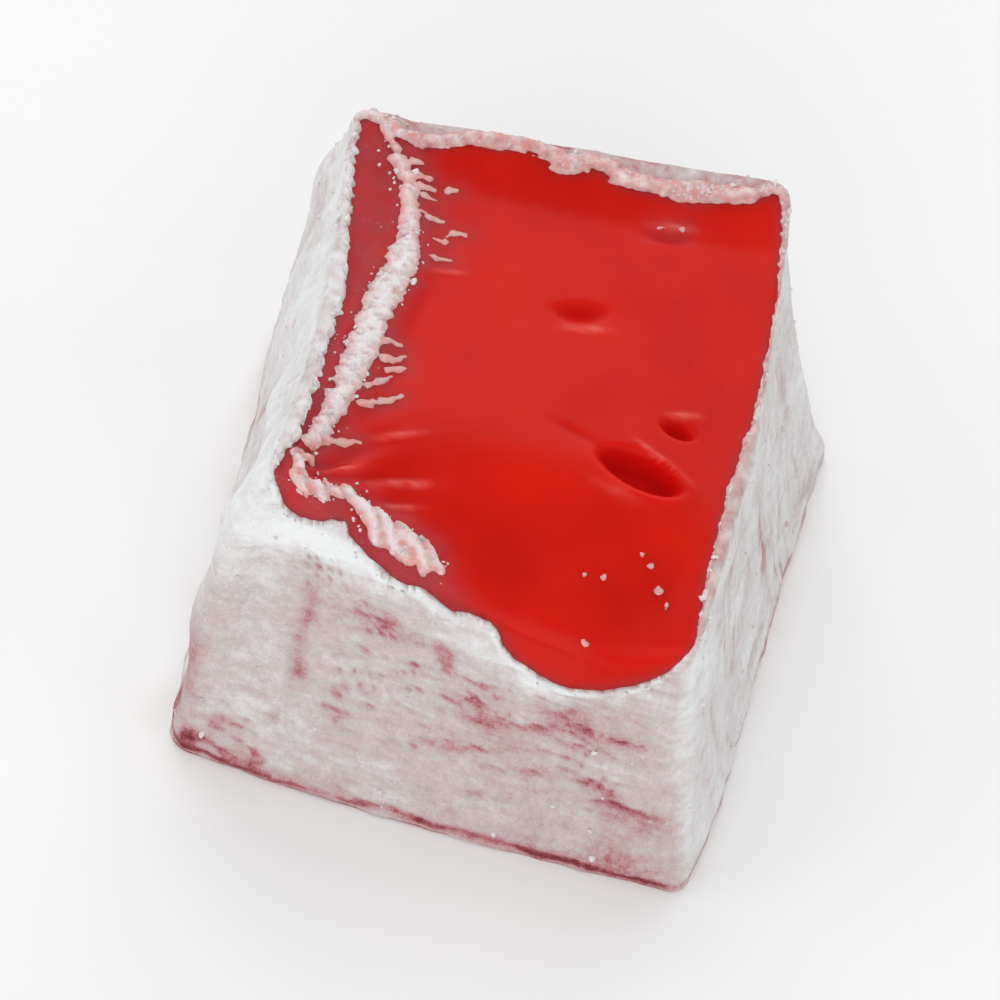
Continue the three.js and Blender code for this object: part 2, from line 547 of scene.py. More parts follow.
        plan_x, plan_y = self.round_plan(s * scale * self.half_width, t * scale * self.half_depth)
        s, t = plan_x / self.half_width, plan_y / self.half_depth
        low, high = self.foot(s, t), self.top.blend(s, t)
        high[:, 0] += self.top_bow * (1 - t**2)
        lean = (1 - (1 - height) ** self.foot_spread_power)[:, None]
        hollow = (1 - self.side_hollow / self.half_width * np.sin(np.pi * height))[:, None]
        plan = (low + (high - low) * lean)[:, :2] * hollow
        sag = self.sag_share(high[:, 0], high[:, 1])
        plan[:, 1] -= self.sag_bulge * sag * height
        column = high[:, 2] - self.sag_depth * sag
        dish = self.dish(s, t)
        top = (top_relief(high[:, 0], high[:, 1]) - dish) * smooth(height, 0.9, 1.0)
        points = np.column_stack((plan, height * column + top))
        drop = np.where(inset > 0, 0.0, (1 - (up + 1) / 2) * column)
        return Surface(points, s, t, high[:, 0], high[:, 1], inset, drop, sag)

    def relief(self, points: Array, normals: Array) -> Array:
        """Slow swells and crags of the cut sides, which reach down to an uneven foot.

        Args:
            points: points in millimetres.
            normals: their outward directions.

        Returns:
            How each point moves, in millimetres, level where it is close to the base.
        """
        swell = self.swell[0] * grain(points, self.swell[1], self.seed)
        crag = self.crag[0] * grain(points, self.crag[1], -self.seed)
        nick = self.nick[0] * grain(points, self.nick[1], 31.0) * (1 - smooth(points[:, 2], 0.4, 2.2))
        sides = 1 - 0.85 * smooth(normals[:, 2], 0.3, 0.9)
        move = normals * ((swell + crag + nick) * sides)[:, None]
        move[:, 2] *= smooth(points[:, 2], self.base_radius, 3 * self.base_radius)
        return move

    def skin(self, mesh: bpy.types.Mesh, crowding: tuple[float, float], top_relief: Relief) -> tuple[Surface, Array]:
        """Places a gridded block as place does, then adds the relief of the cut sides.

        Args:
            mesh: the gridded block, from -1 to 1.
            crowding: 1 for even cells, more for smaller cells at the edges, in plan and in height.
            top_relief: height of the top's own relief at x and y.

        Returns:
            The placed vertices and their outward directions.
        """
        surface = self.place(mesh, crowding, top_relief)
        normals = vertex_normals(mesh, surface.points)
        surface.points += self.relief(surface.points, normals)
        return surface, normals

    def centring(self) -> Array:
        """Finds where the form belongs.

        Returns:
            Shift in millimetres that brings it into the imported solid's box.
        """
        low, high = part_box(NODE)
        middle = (np.array(low[:2]) + np.array(high[:2])) / 2 / MM
        places = np.linspace(-1, 1, 41)
        outline = np.concatenate([self.foot(places, np.full_like(places, end)) for end in (-1.0, 1.0)])
        own = (outline[:, :2].min(axis=0) + outline[:, :2].max(axis=0)) / 2
        return np.array([*(middle - own), low[2] / MM])


def vertex_normals(mesh: bpy.types.Mesh, points: Array) -> Array:
    """Writes points in millimetres to a mesh and reads its vertex normals.

    Args:
        mesh: the mesh to place.
        points: one point for each vertex.

    Returns:
        One unit vector for each vertex.
    """
    mesh.vertices.foreach_set("co", points.ravel())
    mesh.update()
    return read_vertices(mesh, "normal")


def settle(mesh: bpy.types.Mesh, points: Array, shift: Array) -> None:
    """Writes finished vertices, moved by the form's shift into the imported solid's box and turned into metres."""
    mesh.vertices.foreach_set("co", ((points + shift) * MM).ravel())
    mesh.update()


# ---------------------------------------------------------------------------------------------------------------------
# Finishes
# ---------------------------------------------------------------------------------------------------------------------


def new_material(name: str) -> tuple[bpy.types.Material, Callable[..., bpy.types.Node], bpy.types.NodeSocket]:
    """Starts a material with an empty node tree.

    Args:
        name: the material's name.

    Returns:
        The material, add_node for its tree, and the output that gives Object coordinates.
    """
    material = bpy.data.materials.new(name)
    material.use_nodes = True
    material.node_tree.nodes.clear()
    add = partial(add_node, material.node_tree)
    return material, add, add("TexCoord").outputs["Object"]


@dataclass(frozen=True)
class RoseJelly:
    """Boiled starch jelly, coloured red: deep and wet where bare, hazy where powder has touched it."""

    name: str = "rose_starch_jelly"
    deep: str = "#CB150A"
    mid: str = "#D71C0E"
    # Painted shade: a deeper red for the slit, the pits and the creases.
    sunk: str = "#D00401"
    # Painted highlight: a pale coral for the raised lips and wrinkles that catch the light.
    painted_highlight: str = "#F58C80"
    crest_share: float = 0.6
    film: str = "#AB4850"
    film_share: float = 0.75
    dust: str = "#D9A9A6"
    dusting: tuple[float, float] = (0.6, 0.85)
    cloud_length: float = 5.0
    speckle_length: float = 0.14
    ripple_length: float = 1.3
    ripple_depth: float = 0.1
    ripple_strength: float = 0.25
    roughness: float = 0.29
    matt_roughness: float = 0.8
    refraction: float = 1.45
    gloss: float = 0.11
    glow: float = 0.9
    glow_depth: float = 2.2
    glow_spread: tuple[float, float, float] = (1.0, 0.12, 0.07)

    def build(self) -> bpy.types.Material:
        """Makes the material.

        Returns:
            The finished material, which reads the attributes "haze", "sunk" and "crest".
        """
        material, add, coords = new_material(self.name)
        haze, sunk, painted_highlight = (
            add("Attribute", attribute_name=name).outputs["Fac"] for name in ("haze", "sunk", "painted_highlight")
        )
        # Uneven colour a few millimetres across, as the syrup set, powder grains stuck to the wet jelly, drawn about
        # 0.14 mm across so that they show, and the slow ripples of its skin.
        patterns = ((self.cloud_length, 3.0), (self.speckle_length, 2.0), (self.ripple_length, 4.0))
        cloud, speckle, ripple = (
            add("TexNoise", {"Vector": coords, "Scale": 1 / (length * MM), "Detail": detail}).outputs["Fac"]
            for length, detail in patterns
        )
        pale, filmed, sparse = (
            add("Math", {0: share, 1: factor}, operation="MULTIPLY").outputs[0]
            for share, factor in ((painted_highlight, self.crest_share), (haze, self.film_share), (haze, speckle))
        )
        spots = {"Value": sparse, "From Min": self.dusting[0], "From Max": self.dusting[1]}
        dusted = add("MapRange", spots, interpolation_type="SMOOTHSTEP").outputs[0]
        red = add("ValToRGB", {"Fac": cloud}, stops=((0.35, self.deep), (0.65, self.mid)))
        # Painted shade: the jelly is a deeper red in the slit and the pits, where little light comes back out.
        # Painted highlight: the tops of the wrinkles and the lips of the slit are stretched thin and painted a paler
        # coral where they catch the light. A thin film of wetted starch near the powder dulls the red, and grains lie
        # in the film.
        colour, matt = red.outputs["Color"], filmed
        for share, layer in ((sunk, self.sunk), (pale, self.painted_highlight), (filmed, self.film), (dusted, self.dust)):
            colour = add("Mix", {0: share, 6: colour, 7: linear(layer)}, data_type="RGBA").outputs[2]
        for share in (sunk, dusted):
            matt = add("Math", {0: matt, 1: share}, operation="MAXIMUM").outputs[0]
        rough = add("MapRange", {"Value": matt, "To Min": self.roughness, "To Max": self.matt_roughness})
        relief = add(
            "Bump", {"Height": ripple, "Strength": self.ripple_strength, "Distance": self.ripple_depth * MM}
        )
        shader = add(
            "BsdfPrincipled",
            {
                "Base Color": colour,
                "Roughness": rough.outputs[0],
                "Normal": relief.outputs["Normal"],
                "IOR": self.refraction,
                "Specular IOR Level": self.gloss,
                "Subsurface Weight": self.glow,
                "Subsurface Radius": self.glow_spread,
                "Subsurface Scale": self.glow_depth * MM,
            },
        )
        add("OutputMaterial", {"Surface": shader.outputs[0]})
        return material


@dataclass(frozen=True)
class DustedStarch:
    """Starch and sugar powder on damp jelly: chalk white where thick, grey-pink where the jelly has wetted it."""

    name: str = "starch_sugar_powder"
    blush: str = "#F4988E"
    stops: tuple[tuple[float, str], ...] = (
        # Darkest stop: darker than bare jelly, partly painted shade for the shadowed line along the foot.
        (0.0, "#7C2A2C"),
        (0.14, "#B0646A"),
        (0.3, "#C2989A"),
        (0.45, "#C8B4B3"),
        (0.6, "#D0C6C4"),
        (0.8, "#E5E2E2"),
        (1.0, "#F3F5F6"),
    )
    clump_length: float = 0.6
    clump_share: float = 0.42
    net_length: float = 0.55
    net_bend: float = 2.4
    grit_length: float = 0.11
    grit_share: float = 0.2
    streak: tuple[float, float, float] = (1.8, 1.8, 0.36)
    streak_share: float = 0.32
    relief_depth: float = 0.09
    relief_strength: float = 0.7
    roughness: tuple[float, float] = (0.42, 0.95)
    gloss: float = 0.3
    glow: float = 0.2
    glow_depth: float = 0.35
    glow_spread: tuple[float, float, float] = (1.0, 0.6, 0.55)

    def build(self) -> bpy.types.Material:
        """Makes the material.

        Returns:
            The finished material, which reads the attributes "cover" and "blush".
        """
        material, add, coords = new_material(self.name)
        cover, blush = (add("Attribute", attribute_name=name).outputs["Fac"] for name in ("cover", "blush"))
        clumping = {"Vector": coords, "Scale": 1 / (self.clump_length * MM), "Detail": 5.0, "Roughness": 0.7}
        clumps = add("TexNoise", clumping).outputs
        clump = clumps["Fac"]
        # Single grains, drawn about 0.11 mm across so that they show.
        grains = {"Vector": coords, "Scale": 1 / (self.grit_length * MM), "Detail": 2.0}
        grit = add("TexNoise", grains).outputs["Fac"]
        # Level streaks in the film, drawn out by the knife.
        density = tuple(1 / (length * MM) for length in self.streak)
        drawn = add("VectorMath", {0: coords, 1: density}, operation="MULTIPLY").outputs[0]
        streaks = add("TexNoise", {"Vector": drawn, "Scale": 1.0, "Detail": 4.0, "Roughness": 0.6}).outputs["Fac"]
        # Fine breaks in the film, where the pink of the jelly comes through.
        bend = (self.net_bend * self.net_length * MM,) * 3
        bent = add("VectorMath", {0: clumps["Color"], 1: bend, 2: coords}, operation="MULTIPLY_ADD").outputs[0]
        net = add("TexVoronoi", {"Vector": bent, "Scale": 1 / (self.net_length * MM)}, feature="DISTANCE_TO_EDGE")
        breaking = {"Value": net.outputs["Distance"], "From Max": 0.2, "To Min": -0.07, "To Max": 0.02}
        breaks = add("MapRange", breaking, interpolation_type="SMOOTHSTEP").outputs[0]
        whole = add("MapRange", {"Value": cover, "From Min": 0.45, "From Max": 0.9, "To Min": 1.0, "To Max": 0.15})
        total = add("Math", {0: breaks, 1: whole.outputs[0], 2: cover}, operation="MULTIPLY_ADD").outputs[0]
        for pattern, share in ((clump, self.clump_share), (grit, self.grit_share), (streaks, self.streak_share)):
            centred = add("Math", {0: pattern, 1: share, 2: -share / 2}, operation="MULTIPLY_ADD").outputs[0]
            total = add("Math", {0: total, 1: centred}, operation="ADD").outputs[0]
        plain = add("ValToRGB", {"Fac": total}, stops=self.stops).outputs["Color"]
        # Powder that lies on the bare top is soaked with red syrup in patches and looks coral there.
        patchy = add("MapRange", {"Value": clump, "From Min": 0.35, "From Max": 0.65, "To Min": 0.4, "To Max": 1.5})
        rosy = add("Math", {0: blush, 1: patchy.outputs[0]}, operation="MULTIPLY", use_clamp=True).outputs[0]
        colour = add("Mix", {0: rosy, 6: plain, 7: linear(self.blush)}, data_type="RGBA").outputs[2]
        rough = add("MapRange", {"Value": total, "To Min": self.roughness[0], "To Max": self.roughness[1]})
        height = grit
        for pattern, weight in ((streaks, 3.0), (clump, 2.5)):
            height = add("Math", {0: pattern, 1: weight, 2: height}, operation="MULTIPLY_ADD").outputs[0]
        relief = add(
            "Bump", {"Height": height, "Strength": self.relief_strength, "Distance": self.relief_depth * MM}
        )
        shader = add(
            "BsdfPrincipled",
            {
                "Base Color": colour,
                "Roughness": rough.outputs[0],
                "Normal": relief.outputs["Normal"],
                "Specular IOR Level": self.gloss,
                "Subsurface Weight": self.glow,
                "Subsurface Radius": self.glow_spread,
                "Subsurface Scale": self.glow_depth * MM,
            },
        )
        add("OutputMaterial", {"Surface": shader.outputs[0]})
        return material


@dataclass(frozen=True)
class StudioPaper:
    """Matt white paper sweep: soft, even and without gloss."""

    name: str = "studio_paper"
    colour: str = "#FAFAFA"
    roughness: float = 0.9
    fibre_length: float = 1.0
    fibre_depth: float = 0.01

    def build(self) -> bpy.types.Material:
        """Makes the material.

        Returns:
            The finished material.
        """
        material, add, coords = new_material(self.name)
        fibre = add("TexNoise", {"Vector": coords, "Scale": 1 / (self.fibre_length * MM), "Detail": 2.0})
        relief = add("Bump", {"Height": fibre.outputs["Fac"], "Distance": self.fibre_depth * MM})
        paper = {"Base Color": linear(self.colour), "Roughness": self.roughness, "Normal": relief.outputs["Normal"]}
        add("OutputMaterial", {"Surface": add("BsdfPrincipled", paper).outputs[0]})
        return material


# ---------------------------------------------------------------------------------------------------------------------
# Pieces
# ---------------------------------------------------------------------------------------------------------------------

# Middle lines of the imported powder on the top, each point as x, y and half-width in millimetres.
LEFT_ROPE = (
    (-11.3, 11.9, 0.3), (-10.7, 11.3, 0.4), (-10.2, 10.6, 0.45), (-9.5, 9.6, 0.47), (-9.0, 8.4, 0.47),
    (-8.6, 7.1, 0.5), (-8.3, 5.7, 0.58), (-8.2, 4.6, 0.84), (-8.3, 3.6, 0.9), (-8.5, 1.7, 0.86),
    (-8.6, -0.1, 0.82), (-8.6, -2.3, 0.8), (-8.7, -4.4, 0.72), (-8.9, -6.1, 0.62), (-9.2, -7.9, 0.5),
    (-9.4, -8.7, 0.36),
)
FRONT_ROPE = (
    (-9.6, -10.0, 0.34), (-9.45, -10.9, 0.42), (-9.0, -11.3, 0.42), (-8.0, -11.1, 0.44), (-6.9, -10.5, 0.48),
    (-5.9, -11.0, 0.58), (-4.9, -11.35, 0.66), (-3.6, -11.3, 0.68), (-2.4, -11.45, 0.54), (-1.7, -11.6, 0.26),
)
ROPES = (LEFT_ROPE, FRONT_ROPE)
# Short strokes where powder has gathered in a wrinkle, given in the same way. Their pale pink is in part a painted
# highlight, for light caught on the wrinkles and on the lip by the back rim.
STROKES = (
    ((-9.5, 10.6, 0.2), (-8.9, 10.7, 0.1)),
    ((-9.1, 10.0, 0.2), (-8.3, 10.1, 0.08)),
    ((-8.7, 9.4, 0.2), (-8.0, 9.5, 0.08)),
    ((-7.3, 9.8, 0.14), (-6.9, 9.9, 0.08)),
    ((-8.3, 8.8, 0.18), (-7.5, 8.9, 0.08)),
    ((-8.7, 7.7, 0.18), (-8.0, 7.8, 0.1)),
    ((-7.7, 7.6, 0.17), (-7.0, 7.7, 0.1)),
    ((-6.5, 7.1, 0.2), (-5.8, 7.3, 0.12)),
    ((-7.2, 6.4, 0.17), (-6.5, 6.5, 0.08)),
    ((-6.8, 5.2, 0.2), (-6.0, 5.4, 0.08)),
    ((-7.8, -1.1, 0.2), (-6.9, -0.8, 0.08)),
    ((-7.4, -2.1, 0.22), (-6.5, -1.4, 0.14)),
    ((-7.1, -2.7, 0.18), (-6.3, -2.1, 0.12)),
    ((-7.8, -4.1, 0.18), (-6.8, -2.9, 0.08)),
    ((-7.8, -5.3, 0.22), (-6.0, -3.9, 0.1)),
    ((-9.0, -8.3, 0.2), (-8.0, -7.8, 0.2), (-7.2, -7.3, 0.07)),
    ((-9.9, -9.9, 0.24), (-9.2, -9.6, 0.3)),
    ((3.3, 10.75, 0.12), (4.5, 11.0, 0.12)),
)


@dataclass(frozen=True)
class CrustEdge:
    """The crust's edge along one side: how it is torn, its raised lip, its crumbs and how well it hides the jelly.

    Blush is how far syrup has soaked the lip. Each lap holds a place along the side and how far the crust laps onto
    the top there. A lap below 0 means that the jelly rolls over the rim and is bare for that far down the side.
    """

    side: Side
    torn: float
    lip_width: float
    lip_height: float
    crumbly: float
    cover: float
    blush: float
    laps: tuple[tuple[float, float], ...]


FRONT_LAPS = (
    (-10.2, -0.6), (-9.6, -1.4), (-8.8, -1.4), (-7.7, -0.9), (-7.1, -0.2), (-6.6, 0.1), (-6.2, -0.6),
    (-5.8, -0.8), (-5.0, -1.05), (-3.3, -1.0), (-2.3, -0.7), (-0.6, -0.7), (0.3, -0.3), (1.35, -0.15),
    (1.9, -0.4), (2.2, -0.8), (3.0, -1.2), (4.35, -1.5), (5.5, -1.45), (6.9, -1.25), (8.5, -1.0), (9.8, -0.9),
    (10.6, -0.5), (11.2, 0.3),
)
RIGHT_LAPS = (
    (-12.6, 0.34), (-11.9, 0.46), (-10.8, 0.6), (-9.8, 0.75), (-8.8, 0.85), (-6.7, 0.9), (-4.5, 1.05),
    (-2.6, 0.88), (-0.7, 0.7), (0.3, 0.5), (3.5, 0.45), (5.1, 0.35), (6.6, 0.2), (8.3, 0.12), (9.7, 0.23),
    (11.2, 0.37), (13.5, 0.56),
)
BACK_LAPS = (
    (-12.9, 1.0), (-12.3, 1.0), (-11.6, 1.3), (-11.0, 1.6), (-10.3, 1.9), (-9.3, 1.75), (-8.4, 1.5),
    (-7.0, 1.0), (-5.5, 0.9), (-4.0, 0.85), (-3.2, 1.1), (-2.3, 1.45), (-0.9, 1.2), (-0.1, 1.2), (0.5, 1.6),
    (1.3, 1.8), (2.4, 1.9), (5.9, 1.8), (7.3, 1.55), (8.5, 1.0),
)
LEFT_LAPS = (
    (-11.9, -0.1), (-11.5, 0.2), (-10.3, 0.75), (-9.2, 0.9), (-8.1, 1.0), (-6.7, 1.05), (-4.0, 1.05),
    (-1.2, 1.1), (0.4, 1.35), (1.6, 1.2), (4.1, 0.9), (6.8, 0.7), (9.4, 0.55), (11.5, 0.55),
)


@dataclass(frozen=True)
class BareEdge:
    """Where the crust stops and the bare jelly starts."""

    form: CubeForm
    seed: float = 3.3
    corner_blend: float = 0.7
    tear: tuple[float, float, float] = (2.0, 0.55, 0.8)
    fine_tear: tuple[float, float, float] = (1.0, 0.3, 0.4)
    fray: float = 0.3
    sag_calm: float = 0.5
    edges: tuple[CrustEdge, ...] = (
        CrustEdge(Side.FRONT, 0.16, 0.2, 0.1, -0.3, 0.8, 0.12, FRONT_LAPS),
        CrustEdge(Side.RIGHT, 0.1, 0.16, 0.07, 0.08, 0.56, 0.25, RIGHT_LAPS),
        CrustEdge(Side.BACK, 0.26, 0.3, 0.12, 0.5, 0.42, 0.42, BACK_LAPS),
        CrustEdge(Side.LEFT, 0.2, 0.24, 0.1, 0.16, 0.74, 0.1, LEFT_LAPS),
    )

    def weights(self, surface: Surface) -> Array:
        """How much each side's edge counts at each vertex.

        Args:
            surface: the placed vertices.

        Returns:
            One row for each side, adding up to 1.
        """
        away = np.array([self.form.from_side(edge.side, surface.s, surface.t) for edge in self.edges])
        rows = np.exp(-away / self.corner_blend) + 1e-9
        return rows / np.sum(rows, axis=0)

    def blended(self, surface: Surface, *names: str) -> list[Array]:
        """Reads the named values of the four edges, blended from side to side, for each placed vertex."""
        weights = self.weights(surface)
        return [sum(w * getattr(edge, name) for w, edge in zip(weights, self.edges)) for name in names]

    def whole(self, surface: Surface) -> Array:
        """Distance from the edge before it was torn.

        Args:
            surface: the placed vertices.

        Returns:
            Millimetres, positive on the crust's side and negative on the bare jelly's.
        """
        outside = -surface.rim
        for weight, edge in zip(self.weights(surface), self.edges):
            positions, laps = zip(*edge.laps)
            place = surface.top_x if edge.side.value[1] else surface.top_y
            outside = outside + weight * np.interp(place, positions, laps)
        return outside

    def outside(self, surface: Surface) -> Array:
        """Distance from the torn edge.

        Args:
            surface: the placed vertices.

        Returns:
            Millimetres, positive on the crust's side and negative on the bare jelly's.
        """
        torn = grain(surface.points, self.tear, self.seed)
        torn += 0.6 * grain(surface.points, self.fine_tear, -self.seed) + 0.3 * grain(surface.points, self.fray, 8.6)
        calm = 1 - self.sag_calm * smooth(surface.sag, 0.3, 0.8)
        return self.whole(surface) + self.blended(surface, "torn")[0] * torn * calm

    def lip(self, surface: Surface, outside: Array) -> Array:
        """Height in millimetres of the raised lip that the crust ends in, by the distance from its edge."""
        width, height = self.blended(surface, "lip_width", "lip_height")
        return height * bump(outside, width, width)


@dataclass
class JellyBlock:
    """The jelly itself, with its dished top, ridges, wrinkles, slit and pits."""

    form: CubeForm
    edge: BareEdge
    cells: tuple[int, int, int] = (220, 220, 26)
    crowding: tuple[float, float] = (1.1, 1.4)
    skin_depth: float = 0.1
    ridge_height: float = 0.38
    ridge_half_width: float = 0.75
    wrinkle_height: float = 0.11
    wrinkle_count: float = 21.0
    wrinkle_sway: tuple[float, float] = (0.7, 0.8)
    wrinkle_corner: tuple[float, float] = (-10.6, -11.2)
    wrinkles_rise: tuple[float, float] = (0.6, 2.4)
    wrinkles_fade: tuple[float, float] = (3.5, 8.0)
    broad_wave: tuple[float, float] = (0.07, 6.0)
    small_wave: tuple[float, float] = (0.02, 2.0)
    full_crest: float = 0.16
    crest_breaks: tuple[float, float, float] = (0.8, 0.22, 0.5)
    full_sink: float = 0.35
    rope_haze: tuple[float, float] = (0.7, 0.8)
    stroke_haze: tuple[float, float] = (0.5, 0.7)
    crust_haze: tuple[float, float] = (0.6, 0.35)
    most_spread_haze: float = 0.9
    left_haze: tuple[float, float] = (-0.5, 0.4)
    front_haze: tuple[float, float] = (-0.4, 0.4)
    front_haze_end: tuple[float, float] = (-2.5, 1.5)
    haze_patches: tuple[float, float, float] = (0.85, 0.5, 1.1)
    # Hollows in the top; the jelly in them is painted a deeper red, as shade.
    hollows: tuple[Mark, ...] = (
        Mark(6.4, -3.95, 2.1, 0.88, -10.0, 1.2, sharpness=6.0),
        Mark(7.5, -0.95, 0.8, 0.44, -14.0, 0.6, sharpness=4.0),
        Mark(0.95, 4.42, 1.2, 0.5, 14.0, 0.34, sharpness=3.0),
        Mark(4.0, 10.35, 1.1, 0.3, 10.0, 0.2, sharpness=2.5),
        Mark(2.7, -2.95, 1.3, 0.3, -14.0, 0.09),
        Mark(-10.3, -10.9, 1.2, 0.26, -70.0, 0.22),
    )
    # Swellings in the top; their lips get a paler coral as a painted highlight.
    swellings: tuple[Mark, ...] = (
        Mark(7.3, -3.1, 1.3, 0.15, -26.0, 0.2),
        Mark(5.6, -5.5, 1.2, 0.25, -10.0, 0.05),
        Mark(7.5, -0.1, 0.7, 0.18, 15.0, 0.13),
        Mark(1.5, 3.45, 1.0, 0.26, 14.0, 0.11),
        Mark(4.0, 10.95, 0.8, 0.2, 10.0, 0.14),
        Mark(-5.5, -6.2, 1.1, 0.17, 27.0, 0.12),
        Mark(-4.4, -8.5, 1.2, 0.18, 20.0, 0.12),
        Mark(-4.3, -9.7, 0.8, 0.15, 24.0, 0.1),
        Mark(-7.4, -9.0, 1.0, 0.16, 30.0, 0.1),
        Mark(-5.9, 4.6, 0.8, 0.16, 16.0, 0.08),
    )

    def top_relief(self, x: Array, y: Array) -> Array:
        """Height of ridges, wrinkles and hollows on the top.

        Args:
            x: across, in millimetres.
            y: along, in millimetres.

        Returns:
            Height above the plain dish.
        """
        away = np.maximum(0, -nearest_reach(x, y, ROPES))
        ridges = bump(away, 0, self.ridge_half_width)
        off_x, off_y = x - self.wrinkle_corner[0], y - self.wrinkle_corner[1]
        reach = np.hypot(off_x, off_y)
        sway = self.wrinkle_sway[0] * np.sin(reach * self.wrinkle_sway[1])
        fan = np.cos(np.arctan2(off_y, off_x) * self.wrinkle_count + sway)
        wrinkles = self.wrinkle_height * fan * smooth(reach, *self.wrinkles_rise)
        wrinkles *= 1 - smooth(reach, *self.wrinkles_fade)
        flat = np.column_stack((x, y, np.zeros_like(x)))
        waves = self.broad_wave[0] * grain(flat, self.broad_wave[1], 2.3)
        waves += self.small_wave[0] * grain(flat, self.small_wave[1], 7.1)
        marks = total_share(self.swellings, x, y) - total_share(self.hollows, x, y)
        return self.ridge_height * ridges + wrinkles + marks + waves

    def painted_highlight(self, surface: Surface) -> Array:
        """How much painted highlight each vertex gets, on top of a wrinkle or on a lip.

        Args:
            surface: the placed vertices.

        Returns:
            0 for plain jelly, 1 for a full painted highlight.
        """
        raised = total_share(self.swellings, surface.top_x, surface.top_y) / self.full_crest
        raised *= np.clip(0.8 + 1.1 * grain(surface.points, self.crest_breaks, 31.0), 0.2, 1.3)
        return np.clip(raised * (1 - 3 * self.sunk(surface)), 0, 1)

    def sunk(self, surface: Surface) -> Array:
        """How far each vertex lies down in the slit or a pit, 0 to 1: its share of painted shade."""
        return np.clip(total_share(self.hollows, surface.top_x, surface.top_y) / self.full_sink, 0, 1)

    def under_skin(self, surface: Surface) -> Array:
        """How far the jelly lies below the plain form, under the powder of the sides, in millimetres."""
        return self.skin_depth * smooth(-surface.rim, -0.4, 0.4)

    def haze(self, surface: Surface) -> Array:
        """How much wetted starch lies on the red: outside the ropes, around the strokes and along the crust.

        Args:
            surface: the placed vertices.

        Returns:
            0 for clear jelly, 1 for jelly under a full film.
        """
        x, y = surface.top_x, surface.top_y
        rope_x = np.interp(y, *zip(*((along, across) for across, along, _ in reversed(LEFT_ROPE))))
        rope_y = np.interp(x, *zip(*((across, along) for across, along, _ in FRONT_ROPE)))
        left_band = smooth(rope_x - x, *self.left_haze)
        front_band = smooth(rope_y - y, *self.front_haze) * (1 - smooth(x, *self.front_haze_end))
        near_rope, near_stroke = (np.minimum(nearest_reach(x, y, paths), 0) for paths in (ROPES, STROKES))
        near_crust = np.maximum(-self.edge.outside(surface), 0.0)
        hazes = ((near_rope, self.rope_haze), (near_stroke, self.stroke_haze), (near_crust, self.crust_haze))
        spread = sum(share * bump(near, 0, width) for near, (share, width) in hazes)
        full = np.maximum(np.maximum(left_band, front_band), np.minimum(spread, self.most_spread_haze))
        mean, swing, length = self.haze_patches
        return np.clip(full * (mean + swing * grain(surface.points, length, 21.0)), 0, 1)

    def build(self, material: bpy.types.Material) -> tuple[bpy.types.Object, "CrumbBed"]:
        """Makes the jelly block.

        Args:
            material: the jelly.

        Returns:
            The piece and the bare top's points, in millimetres.
        """
        mesh = self.form.gridded_block(*self.cells)
        surface, normals = self.form.skin(mesh, self.crowding, self.top_relief)
        surface.points -= normals * self.under_skin(surface)[:, None]
        for name, values in (("haze", self.haze), ("painted_highlight", self.painted_highlight), ("sunk", self.sunk)):
            write_values(mesh, name, values(surface))
        settle(mesh, surface.points, self.form.centring())
        bare = surface.rim > 0.05
        bed = CrumbBed(surface.points[bare], normals[bare], np.zeros(int(bare.sum())))
        return new_object("jelly_block", mesh, material), bed


class Wrinkle(Enum):
    """Which way the fine wrinkles of the film run: their lengths in millimetres along the side and up it."""

    LEVEL = (5.5, 0.8)
    UPRIGHT = (0.9, 7.0)


@dataclass(frozen=True)
class Film:
    """How the powder lies on one side.

    Cover is how well it hides the jelly, from 0 to 1. Cloud and speckle say how much that changes over a few
    millimetres and from grain to grain, and wrinkle_cover how much less it is in a wrinkle.
    """

    cover: float
    cloud: float
    speckle: float
    wrinkle: Wrinkle
    wrinkle_depth: float
    wrinkle_cover: float
    marks: tuple[Mark, ...] = ()


